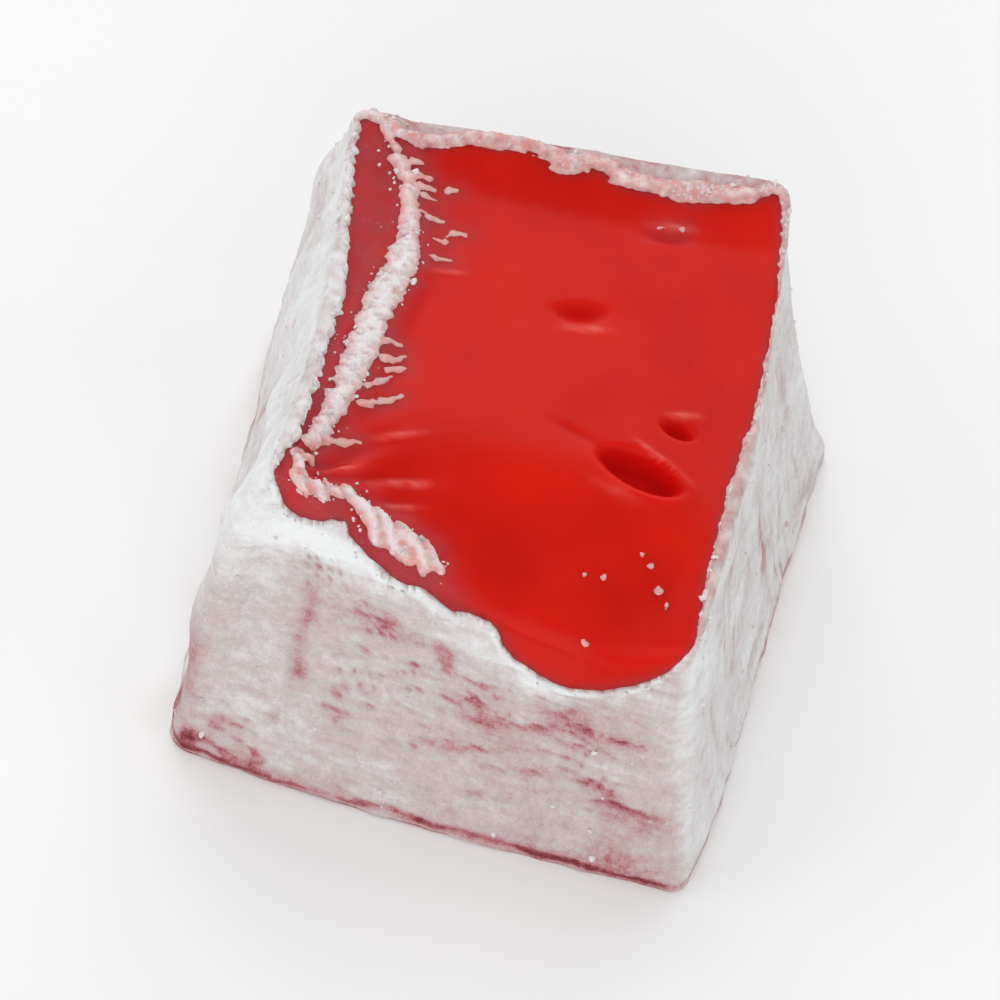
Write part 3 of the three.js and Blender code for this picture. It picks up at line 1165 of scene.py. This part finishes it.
# Thin places (below 0) and thick ones, each by its place along the side and its height above the base.
FRONT_MARKS = (
    # The thin place at the foot of the front-left corner: bare damp jelly, in part painted contact shadow.
    Mark(-12.8, 1.0, 0.8, 0.7, 0.0, -0.55),
    Mark(-10.4, 0.8, 2.2, 0.4, -4.0, -0.12),
    Mark(-9.8, 3.4, 2.6, 1.5, 0.0, 0.16),
    Mark(-5.6, 0.7, 3.0, 0.4, 2.0, -0.1),
    Mark(9.2, 0.8, 2.6, 0.5, 2.0, -0.1),
    Mark(1.2, 7.4, 0.9, 0.26, 0.0, -0.38),
    Mark(3.6, 6.85, 1.7, 0.28, 4.0, -0.3),
    Mark(1.9, 6.5, 1.3, 0.6, -12.0, -0.16),
    Mark(6.8, 7.65, 1.4, 0.28, -3.0, -0.3),
    Mark(6.4, 8.4, 1.7, 0.6, 0.0, -0.14),
    Mark(9.1, 7.6, 1.0, 0.26, 6.0, -0.3),
    Mark(1.8, 4.8, 1.5, 0.18, 12.0, -0.28),
    Mark(2.8, 4.1, 0.8, 0.15, 12.0, -0.26),
    Mark(4.8, 4.2, 0.8, 0.15, 12.0, -0.26),
    Mark(8.0, 4.75, 0.6, 0.16, 14.0, -0.28),
    Mark(2.3, 2.7, 0.6, 0.15, 8.0, -0.26),
    Mark(10.2, 3.95, 1.5, 0.22, 2.0, -0.34),
    Mark(5.2, 7.15, 1.5, 0.14, 6.0, -0.28),
    Mark(4.8, 8.1, 1.6, 0.5, 0.0, -0.12),
    Mark(10.1, 3.5, 1.8, 0.7, -6.0, -0.22),
    Mark(-7.8, 8.8, 3.8, 0.42, 88.0, -0.22),
    Mark(-7.45, 6.3, 0.9, 0.5, 84.0, -0.24),
    Mark(-3.9, 10.3, 1.1, 0.6, 12.0, -0.24),
    Mark(-12.7, 6.8, 0.8, 3.8, -12.0, -0.62),
    Mark(-6.6, 14.2, 4.6, 1.0, -8.0, 0.45),
    Mark(-10.4, 12.6, 1.6, 2.0, 0.0, 0.16),
    Mark(8.8, 5.8, 1.2, 0.7, 0.0, 0.22),
    Mark(3.0, 10.2, 3.4, 0.7, -14.0, 0.2),
    Mark(12.2, 8.6, 1.2, 2.6, 0.0, 0.22),
)
RIGHT_MARKS = (
    Mark(-6.0, 12.8, 3.6, 0.9, 0.0, -0.16),
    Mark(5.0, 15.8, 4.2, 0.8, 0.0, -0.16),
    Mark(-9.5, 5.2, 0.4, 2.6, 0.0, -0.2),
    Mark(2.2, 6.8, 0.4, 3.4, 4.0, -0.22),
    Mark(9.6, 9.0, 0.5, 2.6, -3.0, -0.2),
    Mark(-1.5, 2.2, 2.8, 0.5, 0.0, -0.28),
    Mark(11.0, 1.6, 2.2, 0.5, 0.0, -0.26),
)
BACK_MARKS = (
    Mark(-6.4, 9.6, 3.2, 0.4, 5.0, -0.34),
    Mark(3.8, 6.2, 2.4, 0.32, -7.0, -0.36),
    Mark(7.6, 12.1, 1.8, 0.3, 3.0, -0.28),
    Mark(-9.6, 3.4, 2.0, 0.5, 0.0, -0.3),
    Mark(-1.0, 2.6, 1.4, 0.24, 8.0, -0.3),
    Mark(9.0, 2.8, 2.2, 0.4, -4.0, -0.26),
    Mark(-1.6, 13.6, 3.8, 0.8, -4.0, 0.3),
    Mark(4.4, 9.4, 1.8, 0.8, 0.0, 0.22),
)
LEFT_MARKS = (
    Mark(-13.6, 6.0, 1.4, 3.8, 8.0, -0.6),
    Mark(-13.2, 1.4, 1.3, 1.0, 0.0, -0.5),
    Mark(-8.6, 8.0, 0.5, 3.6, 6.0, -0.2),
    Mark(-2.0, 11.0, 0.5, 3.0, -5.0, -0.22),
    Mark(3.6, 5.8, 0.6, 3.0, 4.0, -0.26),
    Mark(8.6, 10.5, 0.4, 3.4, 0.0, -0.22),
    Mark(5.4, 1.2, 3.0, 0.5, 0.0, -0.34),
    Mark(-4.6, 1.6, 1.8, 0.6, 0.0, -0.3),
    Mark(-6.0, 14.6, 3.8, 0.8, 0.0, 0.2),
)


@dataclass
class CoatMap:
    """The powder's thickness in millimetres, how well it hides the jelly and how rosy it is, for each vertex."""

    thick: Array
    cover: Array
    blush: Array
    crumb_chance: Array


@dataclass
class PowderCoat:
    """The crust of starch and sugar on the sides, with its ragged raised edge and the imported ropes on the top."""

    form: CubeForm
    edge: BareEdge
    jelly: JellyBlock
    cells: tuple[int, int, int] = (208, 208, 72)
    crowding: tuple[float, float] = (1.15, 1.45)
    hidden_top: float = 0.65
    hidden_sink: float = 1.2
    bare_depth: float = 0.16
    film_thickness: float = 0.14
    least_thickness: float = 0.03
    edge_taper: float = 0.18
    lump_size: float = 0.45
    lump_grit: float = 0.28
    lip_length: float = 1.7
    mottle_length: float = 0.9
    fine_mottle_length: float = 0.4
    wrinkle_bend: float = 4.5
    wrinkle_patch: float = 5.0
    crease_length: float = 1.5
    crease_height: float = 0.45
    crease_width: float = 0.2
    crease_depth: float = 0.16
    crumbs_anywhere: float = 0.004
    crumbs_on_cover: float = 0.03
    crumbs_on_lip: float = 1.8
    drift_thickness: float = 1.3
    drift_at_corner: float = 0.9
    drift_rise: tuple[float, float] = (0.2, 4.5)
    drift_fade: tuple[float, float] = (8.0, 17.5)
    drift_facing: tuple[float, float] = (0.15, 0.75)
    drift_patch: float = 5.0
    broad_length: float = 4.2
    patch_length: float = 2.6
    clump_length: float = 1.7
    grit_length: float = 0.8
    broad_swell: float = 0.05
    clump_swell: float = 0.07
    grit_swell: float = 0.05
    mark_swell: float = 0.28
    level_cover: float = 0.74
    level_mottle: float = 0.2
    damp_cover: float = 0.1
    damp_reach: tuple[float, float] = (-3.0, 8.0)
    crease_cover: float = 0.28
    foot_cover: float = 0.1
    foot_fade: tuple[float, float] = (0.2, 1.0)
    lip_cover: float = 2.4
    lapped_lip_cover: float = 1.4
    rim_fade: tuple[float, float] = (-0.9, 0.1)
    rim_gathering: tuple[float, float] = (-4.5, -0.5)
    rim_cover: float = 0.12
    sheer_below: float = 0.06
    films: tuple[tuple[Side, Film], ...] = (
        (Side.FRONT, Film(0.6, 0.1, 0.08, Wrinkle.LEVEL, 0.1, 0.13, FRONT_MARKS)),
        (Side.RIGHT, Film(0.82, 0.1, 0.06, Wrinkle.UPRIGHT, 0.06, 0.1, RIGHT_MARKS)),
        (Side.BACK, Film(0.62, 0.16, 0.1, Wrinkle.LEVEL, 0.08, 0.14, BACK_MARKS)),
        (Side.LEFT, Film(0.8, 0.12, 0.08, Wrinkle.UPRIGHT, 0.06, 0.1, LEFT_MARKS)),
    )

    def wrinkles(self, points: Array, normals: Array, wrinkle: Wrinkle) -> Array:
        """Fine wrinkles of the dried film.

        Args:
            points: points in millimetres.
            normals: their outward directions.
            wrinkle: which way they run.

        Returns:
            Share of the full depth, 0 to 1.
        """
        level, upright = wrinkle.value
        warp = 0.6 * grain(points, self.wrinkle_bend, 11.0)
        along = np.where(np.abs(normals[:, 1]) > np.abs(normals[:, 0]), points[:, 0], points[:, 1])
        across, up = along / level + 0.15 * warp, (points[:, 2] + warp) / upright
        flat = np.column_stack((across, up, np.full(len(along), 3.0)))
        lines = 1 - smooth(np.abs(grain(flat, 1.0, 5.0)), 0.0, 0.2)
        return lines * smooth(grain(points, self.wrinkle_patch, 8.0), -0.25, 0.4)

    def drift(self, surface: Surface, normals: Array) -> Array:
        """Powder heaped against the left flank, which makes a full shoulder below the rim.

        Args:
            surface: the placed vertices.
            normals: their outward directions.

        Returns:
            Its thickness in millimetres.
        """
        down = -surface.rim
        heap = smooth(down, *self.drift_rise) * (1 - smooth(down, *self.drift_fade))
        heap *= smooth(-normals[:, 0], *self.drift_facing)
        corner = smooth(-surface.s, 0.8, 1.0) * smooth(-surface.t, 0.7, 1.0)
        uneven = 0.9 + 0.4 * grain(surface.points, self.drift_patch, 33.0)
        return heap * (self.drift_thickness + self.drift_at_corner * corner) * uneven

    def map_sides(self, surface: Surface, normals: Array) -> CoatMap:
        """The film on the four sides, with its marks and its foot.

        Args:
            surface: the placed vertices.
            normals: their outward directions.

        Returns:
            The powder's thickness and cover there.
        """
        points = surface.points
        broad, clumps = grain(points, self.broad_length, 1.0), grain(points, self.clump_length, 2.0)
        grit, patchwork = grain(points, self.grit_length, 3.0), grain(points, self.patch_length, 5.5)
        shares = {side: side.share(normals) for side, _ in self.films}
        total = np.maximum(sum(shares.values()), 1.0)
        thick = self.film_thickness + self.broad_swell * broad + self.clump_swell * clumps + self.grit_swell * grit
        thick += self.drift(surface, normals)
        level = 1 - np.minimum(sum(shares.values()), 1)
        cover = level * (self.level_cover + self.level_mottle * clumps + self.level_mottle * grit)
        bent_along, bent_up = 0.3 * broad, points[:, 2] + 0.35 * clumps + 0.15 * grit
        for side, film in self.films:
            share = shares[side] / total
            wrinkled = self.wrinkles(points, normals, film.wrinkle)
            own = film.cover + film.cloud * (broad + 0.7 * patchwork + 0.5 * clumps) + film.speckle * grit
            along = points[:, 0] if side.value[1] else points[:, 1]
            marked = total_share(film.marks, along + bent_along, bent_up)
            cover += share * (own - film.wrinkle_cover * wrinkled + marked)
            thick += share * (self.mark_swell * marked - film.wrinkle_depth * wrinkled)
        front = shares[Side.FRONT] / total
        cover -= self.damp_cover * smooth(points[:, 0], *self.damp_reach) * front
        # A damp crease runs along the foot, a little above the base, and the powder hides less of the jelly at the
        # base itself. Both darken the foot, in part as a painted contact shadow.
        crease_height = self.crease_height + 0.35 * broad + 0.2 * clumps
        crease = bump(points[:, 2], crease_height, self.crease_width + 0.08 * grit)
        crease *= np.clip(0.8 + 0.9 * grain(points, self.crease_length, 23.0), 0.3, 1.1)
        foot = 1 - smooth(points[:, 2], *self.foot_fade)
        cover -= crease * (self.crease_cover + 0.12 * front) + self.foot_cover * foot
        thick -= self.crease_depth * crease
        chance = np.clip(cover - 0.55, 0, 1) * self.crumbs_on_cover + self.crumbs_anywhere
        return CoatMap(thick, cover, np.zeros_like(cover), chance)

    def map_rim(self, surface: Surface, sides: CoatMap) -> CoatMap:
        """The crust's raised, broken edge, with bare jelly inside it.

        Args:
            surface: the placed vertices.
            sides: the film on the sides.

        Returns:
            The powder's thickness and cover, bare jelly having a thickness below 0.
        """
        points = surface.points
        outside = self.edge.outside(surface)
        strength = np.clip(0.8 + 0.9 * grain(points, self.lip_length, 14.0), 0.25, 1.3)
        lip = self.edge.lip(surface, outside) * strength
        lumpy = 0.35 + 0.9 * lumps(points, self.lump_size, 4.0) + 0.4 * grain(points, self.lump_grit, 4.4)
        thick = np.maximum(sides.thick + lip * lumpy, self.least_thickness)
        lapped = np.clip(outside / self.edge_taper, -1, 1)
        thick = np.where(lapped > 0, thick * lapped, self.bare_depth * lapped)
        near = smooth(surface.rim, *self.rim_gathering) * self.rim_cover
        mottle = 0.3 * grain(points, self.mottle_length, 27.0)
        mottle += 0.2 * grain(points, self.fine_mottle_length, 28.0)
        lapped_cover = self.edge.blended(surface, "cover")[0] + self.lapped_lip_cover * lip + mottle
        share = smooth(surface.rim, *self.rim_fade)
        cover = (sides.cover + self.lip_cover * lip + near) * (1 - share) + lapped_cover * share
        cover *= 0.25 + 0.75 * smooth(thick, 0.0, self.sheer_below)
        chance = sides.crumb_chance + self.crumbs_on_lip * lip
        blush = self.edge.blended(surface, "blush")[0] * share * bump(outside, 0.1, 0.5)
        return CoatMap(thick, cover, blush, chance * (outside > 0.04))

    def build(self, material: bpy.types.Material) -> tuple[bpy.types.Object, "CrumbBed"]:
        """Makes the powder crust.

        Args:
            material: the powder.

        Returns:
            The piece and where crumbs may lie on it.
        """
        mesh = self.form.gridded_block(*self.cells, hidden_top=self.hidden_top)
        surface, normals = self.form.skin(mesh, self.crowding, self.jelly.top_relief)
        sunk = self.jelly.under_skin(surface) + self.hidden_sink * smooth(surface.rim, 2.7, 4.2)
        coat = self.map_rim(surface, self.map_sides(surface, normals))
        under = smooth(-normals[:, 2], 0.5, 0.9)
        thick = coat.thick * (1 - under) + self.jelly.skin_depth * under
        surface.points += normals * (thick - sunk)[:, None]
        surface.points[:, 2] = np.maximum(surface.points[:, 2], 0.0)
        write_values(mesh, "cover", np.clip(coat.cover, 0.0, 1.0))
        write_values(mesh, "blush", coat.blush)
        settle(mesh, surface.points, self.form.centring())
        chance = coat.crumb_chance * (normals[:, 2] > -0.5) * (surface.points[:, 2] > 0.6)
        return new_object("powder_coat", mesh, material), CrumbBed(surface.points, normals, chance)


@dataclass
class CrumbBed:
    """Places where crumbs may lie, each with its outward direction and its chance of holding one."""

    points: Array
    normals: Array
    chance: Array


@dataclass
class PackedPowder:
    """Ropes, strokes and the crust's crumbly edge on the top, each an island with its own underside."""

    form: CubeForm
    edge: BareEdge
    jelly: JellyBlock
    cells: tuple[int, int] = (400, 470)
    depth: float = 0.3
    rope_height: float = 0.4
    rope_shoulder: float = 0.28
    stroke_height: float = 0.09
    stroke_shoulder: float = 0.08
    # Pink tint of the strokes, in part a painted highlight.
    stroke_blush: float = 0.55
    crumble_height: float = 0.17
    crumble_shoulder: float = 0.16
    knob_sizes: tuple[float, float] = (0.5, 0.22)
    twist_pitch: float = 0.9
    coat_height: float = 0.1
    sunk: float = 0.1
    torn_grain: tuple[float, float, float] = (1.5, 0.42, 1.0)
    fine_torn_grain: tuple[float, float, float] = (0.8, 0.24, 0.5)
    knob_grain: tuple[float, float, float] = (0.55, 0.34, 0.4)
    gap_grain: tuple[float, float, float] = (1.6, 0.8, 1.0)
    gap_range: tuple[float, float] = (-0.55, -0.2)
    grit_length: float = 0.34
    dust_length: float = 0.17
    twist_sway: float = 2.4
    twist_sway_length: float = 1.4
    front_twist: float = 0.2
    front_reach: tuple[float, float] = (7.5, 10.0)
    rope_cover: float = 0.46
    stroke_cover: float = 0.36
    crumbs_on_rope: float = 0.016
    crumbs_by_rope: float = 0.008
    crumbs_on_crust: float = 0.02

    def sheet(self) -> bpy.types.Mesh:
        """A fine level grid over the whole top.

        Returns:
            A sheet in the form's own shares of the half-widths, at the top.
        """
        shape = bmesh.new()
        bmesh.ops.create_grid(shape, x_segments=self.cells[0], y_segments=self.cells[1], size=1.0)
        bmesh.ops.translate(shape, vec=(0.0, 0.0, 1.0), verts=shape.verts)
        return finish_mesh(shape, "sheet")

    def close(self, surface: Surface) -> Array:
        """Which vertices lie close to any packed powder.

        Args:
            surface: the placed vertices.

        Returns:
            True or False for each vertex.
        """
        x, y = surface.top_x, surface.top_y
        reach = nearest_reach(x, y, ROPES + STROKES)
        band = np.maximum(self.edge.blended(surface, "crumbly")[0], 0)
        return (reach > -0.8) | (np.abs(self.edge.whole(surface) - 0.5 * band) < 1.4 * band + 0.5 * (band > 0.05))

    def pile(self, surface: Surface) -> CoatMap:
        """The powder's height, broken up along the wrinkles it lies in.

        Args:
            surface: vertices on the top, close to the powder.

        Returns:
            Its thickness, cover, blush and crumbs.
        """
        points, x, y = surface.points, surface.top_x, surface.top_y
        torn = grain(points, self.torn_grain, 16.0) + 0.5 * grain(points, self.fine_torn_grain, 17.0)
        fine = grain(points, self.grit_length, 18.0)
        knobs = 0.26 * lumps(points, self.knob_sizes[0], 7.0) + 0.16 * lumps(points, self.knob_sizes[1], 9.0)
        knobs += 0.3 + 0.42 * grain(points, self.knob_grain, 20.0) + 0.24 * grain(points, self.dust_length, 19.0)

        # The ropes look twisted, most of all the front one.
        sway = self.twist_sway * grain(points, self.twist_sway_length, 24.0)
        twist = np.sin(math.tau * (0.7 * x + 0.9 * y) / self.twist_pitch + sway)
        front = smooth(-y, *self.front_reach)
        knobs += (0.05 + self.front_twist * front) * twist

        gaps = smooth(grain(points, self.gap_grain, 15.0), *self.gap_range)
        rope = nearest_reach(x, y, ROPES)
        rope += 0.17 * torn + 0.08 * fine + 0.08 * front * twist - 0.2 * (1 - gaps)
        full = 1 - np.exp(-np.maximum(rope, 0) / self.rope_shoulder)
        rope_rise = np.where(rope > 0, self.rope_height * full * (0.35 + 0.75 * knobs), rope)
        rope_cover = self.rope_cover + 0.42 * full + 0.45 * (knobs - 0.4)

        stroke = nearest_reach(x, y, STROKES) + 0.15 * torn + 0.12 * fine
        low = 1 - np.exp(-np.maximum(stroke, 0) / self.stroke_shoulder)
        stroke_rise = np.where(stroke > 0, self.stroke_height * low * (0.4 + knobs), stroke)

        band = self.edge.blended(surface, "crumbly")[0]
        outside = self.edge.outside(surface)
        crust = band - np.abs(outside - 0.6 * band) + 0.22 * torn + 0.1 * fine
        crust = np.where(band > 0, np.minimum(crust, band), -1.0)
        heaped = 1 - np.exp(-np.maximum(crust, 0) / self.crumble_shoulder)
        inside = smooth(surface.inset, 0.0, 0.35)
        crumble = self.crumble_height * heaped * (0.25 + 0.9 * knobs) + self.edge.lip(surface, outside)
        coat = self.coat_height * smooth(outside, -0.05, 0.2) - self.jelly.under_skin(surface)
        crust_rise = np.where(crust > 0, coat + crumble * inside, crust)
        crust_cover = self.edge.blended(surface, "cover")[0] + 0.25 * (heaped - 0.4) + 0.7 * (knobs - 0.45)

        rises = np.array([rope_rise, stroke_rise, crust_rise])
        covers = np.array([rope_cover, self.stroke_cover + 0.26 * low + 0.3 * (knobs - 0.4), crust_cover])
        rope_blush = 0.06 + 0.4 * (1 - full) + 0.14 * front + 0.2 * smooth(y, 5.0, 7.5)
        rope_blush += np.clip(0.42 - knobs, 0, 0.6)
        lip_blush = self.edge.blended(surface, "blush")[0] * (1.1 - 0.8 * (knobs - 0.4))
        blushes = np.array([rope_blush, np.full(len(x), self.stroke_blush), lip_blush])
        top = np.argmax(rises, axis=0)[None]
        chance = self.crumbs_on_rope * (rope > 0.02) + self.crumbs_by_rope * bump(rope, -0.2, 0.25)
        chance += self.crumbs_on_crust * (crust > 0.05)
        cover, blush = (np.take_along_axis(values, top, axis=0)[0] for values in (covers, blushes))
        return CoatMap(rises.max(axis=0), cover, blush, chance)

    def build(self, material: bpy.types.Material) -> tuple[bpy.types.Object, CrumbBed]:
        """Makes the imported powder.

        Args:
            material: the powder.

        Returns:
            The piece and where crumbs may lie around it.
        """
        mesh = self.sheet()
        surface, normals = self.form.skin(mesh, (1.0, 1.0), self.jelly.top_relief)
        close = self.close(surface)
        thick, (cover, blush, chance) = np.full(len(close), -1.0), np.zeros((3, len(close)))
        pile = self.pile(surface.take(close))
        thick[close], cover[close], blush[close], chance[close] = pile.thick, pile.cover, pile.blush, pile.crumb_chance
        bed = CrumbBed(surface.points + normals * np.maximum(thick, 0)[:, None], normals, chance)
        surface.points += normals * np.maximum(thick, -self.sunk)[:, None]
        write_values(mesh, "cover", np.clip(cover, 0.0, 1.0))
        write_values(mesh, "blush", np.clip(blush, 0.0, 1.0))
        mesh.vertices.foreach_set("co", surface.points.ravel())

        shape = bmesh.new()
        shape.from_mesh(mesh)
        shape.verts.ensure_lookup_table()
        bare = [shape.verts[i] for i in np.flatnonzero(thick <= -self.sunk)]
        bmesh.ops.delete(shape, geom=bare, context="VERTS")
        under = bmesh.ops.extrude_face_region(shape, geom=shape.faces[:], use_keep_orig=True)["geom"]
        lowered = [v for v in under if isinstance(v, bmesh.types.BMVert)]
        bmesh.ops.translate(shape, vec=(0.0, 0.0, -self.depth), verts=lowered)
        bmesh.ops.recalc_face_normals(shape, faces=shape.faces[:])
        shape.to_mesh(mesh)
        shape.free()
        settle(mesh, read_vertices(mesh, "co"), self.form.centring())
        return new_object("packed_powder", mesh, material), bed


@dataclass
class PowderCrumbs:
    """Loose clumps of powder, thickest along the crust's edge and on the ropes."""

    count: int = 1000
    seed: int = 8
    small: tuple[float, float] = (0.04, 0.09)
    large: tuple[float, float] = (0.09, 0.18)
    large_share: float = 0.16
    cover: tuple[float, float] = (0.72, 1.0)
    blush: float = 0.14
    # Specks on the red lobe: pale pink powder crumbs that in part stand for small glints, a painted highlight.
    speck_cover: float = 0.6
    speck_blush: float = 0.5
    squash: tuple[float, float] = (0.7, 1.25)
    fine_above: float = 0.06
    specks: tuple[tuple[float, float, float], ...] = (
        (5.2, -9.64, 0.14),
        (6.15, -9.5, 0.16),
        (7.7, -8.1, 0.13),
        (8.2, -8.5, 0.2),
        (9.0, -9.6, 0.2),
        (9.6, -10.2, 0.15),
        (6.2, -12.4, 0.17),
    )

    def add_crumb(self, shape: bmesh.types.BMesh, place: Vector, radius: float, chance: np.random.Generator) -> int:
        """Adds one crumb.

        Args:
            shape: the mesh that collects the crumbs.
            place: its middle, in millimetres.
            radius: its mean radius in millimetres.
            chance: the random numbers.

        Returns:
            How many vertices it has.
        """
        turn = Matrix.Rotation(chance.uniform(0, math.tau), 4, Vector(chance.normal(size=3)).normalized())
        squash = Matrix.Diagonal((*chance.uniform(*self.squash, 3), 1.0))
        made = bmesh.ops.create_icosphere(
            shape,
            subdivisions=2 if radius > self.fine_above else 1,
            radius=radius,
            matrix=Matrix.Translation(place) @ turn @ squash,
        )
        for vertex in made["verts"]:
            place = vertex.co / radius
            vertex.co += (noise.noise_vector(place * 0.8) * 0.7 + noise.noise_vector(place * 2.3) * 0.4) * radius
        return len(made["verts"])

    def build(
        self, beds: Sequence[CrumbBed], form: CubeForm, top: CrumbBed, material: bpy.types.Material
    ) -> bpy.types.Object:
        """Scatters the crumbs.

        Args:
            beds: where they may lie.
            form: the cube's form.
            top: points of the bare top, for the single specks.
            material: the powder.

        Returns:
            The piece.
        """
        chance = np.random.default_rng(self.seed)
        noise.seed_set(self.seed)
        points, normals = (np.concatenate([getattr(b, name) for b in beds]) for name in ("points", "normals"))
        weights = np.concatenate([b.chance for b in beds])
        picks = chance.choice(len(weights), self.count, replace=False, p=weights / weights.sum())
        shape = bmesh.new()
        values: list[tuple[float, float]] = []
        for pick in picks:
            low, high = self.large if chance.random() < self.large_share else self.small
            radius = low + (high - low) * chance.random() ** 1.6
            place = Vector(points[pick] + normals[pick] * radius * 0.1)
            values += [(chance.uniform(*self.cover), self.blush)] * self.add_crumb(shape, place, radius, chance)
        # Specks on the lobe, in part a painted highlight.
        for x, y, radius in self.specks:
            nearest = np.argmin(np.hypot(top.points[:, 0] - x, top.points[:, 1] - y))
            place = Vector(top.points[nearest] + top.normals[nearest] * radius * 0.15)
            values += [(self.speck_cover, self.speck_blush)] * self.add_crumb(shape, place, radius, chance)
        mesh = finish_mesh(shape, "crumbs")
        for name, column in zip(("cover", "blush"), np.array(values).T):
            write_values(mesh, name, column)
        settle(mesh, read_vertices(mesh, "co"), form.centring())
        return new_object("powder_crumbs", mesh, material)


@dataclass(frozen=True)
class Softbox:
    """A square light that faces the cube, with its place and width in metres and its power in watts."""

    name: str
    place: tuple[float, float, float]
    size: float
    power: float


@dataclass
class Studio:
    """Plain pale floor, soft light and the camera."""

    azimuth: float = 9.0
    elevation: float = 48.0
    roll: float = 8.0
    distance: float = 0.9
    lens: float = 648.0
    aim: tuple[float, float, float] = (0.0, 0.00057, 0.007)
    room_light: float = 0.45
    floor_half_width: float = 3.0
    softboxes: tuple[Softbox, ...] = (
        Softbox("back_softbox", (-0.15, 0.7, 0.64), 0.9, 4.6),
        Softbox("left_softbox", (-0.75, -0.2, 0.5), 0.8, 1.7),
        Softbox("right_softbox", (0.75, -0.1, 0.48), 0.8, 1.15),
        Softbox("front_softbox", (0.1, -0.95, 0.4), 0.9, 4.5),
    )

    def floor(self) -> None:
        """Lays the paper sweep."""
        shape = bmesh.new()
        bmesh.ops.create_grid(shape, x_segments=1, y_segments=1, size=self.floor_half_width)
        floor = new_object("floor", finish_mesh(shape, "floor"), StudioPaper().build())

    def camera(self) -> None:
        """Sets the camera, rolled a little so that the block leans to one side."""
        aim = Vector(self.aim)
        around, up = math.radians(self.azimuth), math.radians(self.elevation)
        back = Vector((math.sin(around) * math.cos(up), -math.cos(around) * math.cos(up), math.sin(up)))
        turn = back.to_track_quat("Z", "Y").to_matrix().to_4x4() @ Matrix.Rotation(math.radians(self.roll), 4, "Z")
        data = bpy.data.cameras.new("camera")
        data.lens = self.lens
        camera = bpy.data.objects.new("camera", data)
        camera.matrix_world = Matrix.Translation(aim + back * self.distance) @ turn
        bpy.context.scene.collection.objects.link(camera)
        bpy.context.scene.camera = camera

    def lights(self) -> None:
        """Hangs the softboxes, each turned to the cube, and sets the room's own light."""
        for softbox in self.softboxes:
            data = bpy.data.lights.new(softbox.name, "AREA")
            data.shape = "SQUARE"
            data.size = softbox.size
            data.energy = softbox.power
            place = Vector(softbox.place)
            lamp = bpy.data.objects.new(softbox.name, data)
            lamp.matrix_world = Matrix.Translation(place) @ place.to_track_quat("Z", "Y").to_matrix().to_4x4()
            bpy.context.scene.collection.objects.link(lamp)
        world = bpy.data.worlds.new("room")
        world.use_nodes = True
        background = world.node_tree.nodes["Background"]
        background.inputs["Color"].default_value = (1.0, 1.0, 1.0, 1.0)
        background.inputs["Strength"].default_value = self.room_light
        bpy.context.scene.world = world

    def build(self) -> None:
        """Sets up the studio."""
        self.floor()
        self.camera()
        self.lights()
        bpy.context.scene.view_settings.view_transform = "Standard"


def main() -> None:
    """Builds the cube and its studio, piece by piece."""
    logging.basicConfig(level=logging.INFO, format="%(message)s")
    form = CubeForm()
    edge = BareEdge(form)
    block = JellyBlock(form, edge)
    powder = DustedStarch().build()
    jelly, top_bed = block.build(RoseJelly().build())
    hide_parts(NODE)
    coat, coat_bed = PowderCoat(form, edge, block).build(powder)
    ropes, rope_bed = PackedPowder(form, edge, block).build(powder)
    crumbs = PowderCrumbs().build((coat_bed, rope_bed), form, top_bed, powder)
    for piece, slot in ((jelly, "jelly"), (coat, "powder"), (ropes, "powder"), (crumbs, "powder")):
        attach(piece, BODY)
        LOG.info("%s: %d faces", piece.name, len(piece.data.polygons))

    Studio().build()


if __name__ == "__main__":
    main()
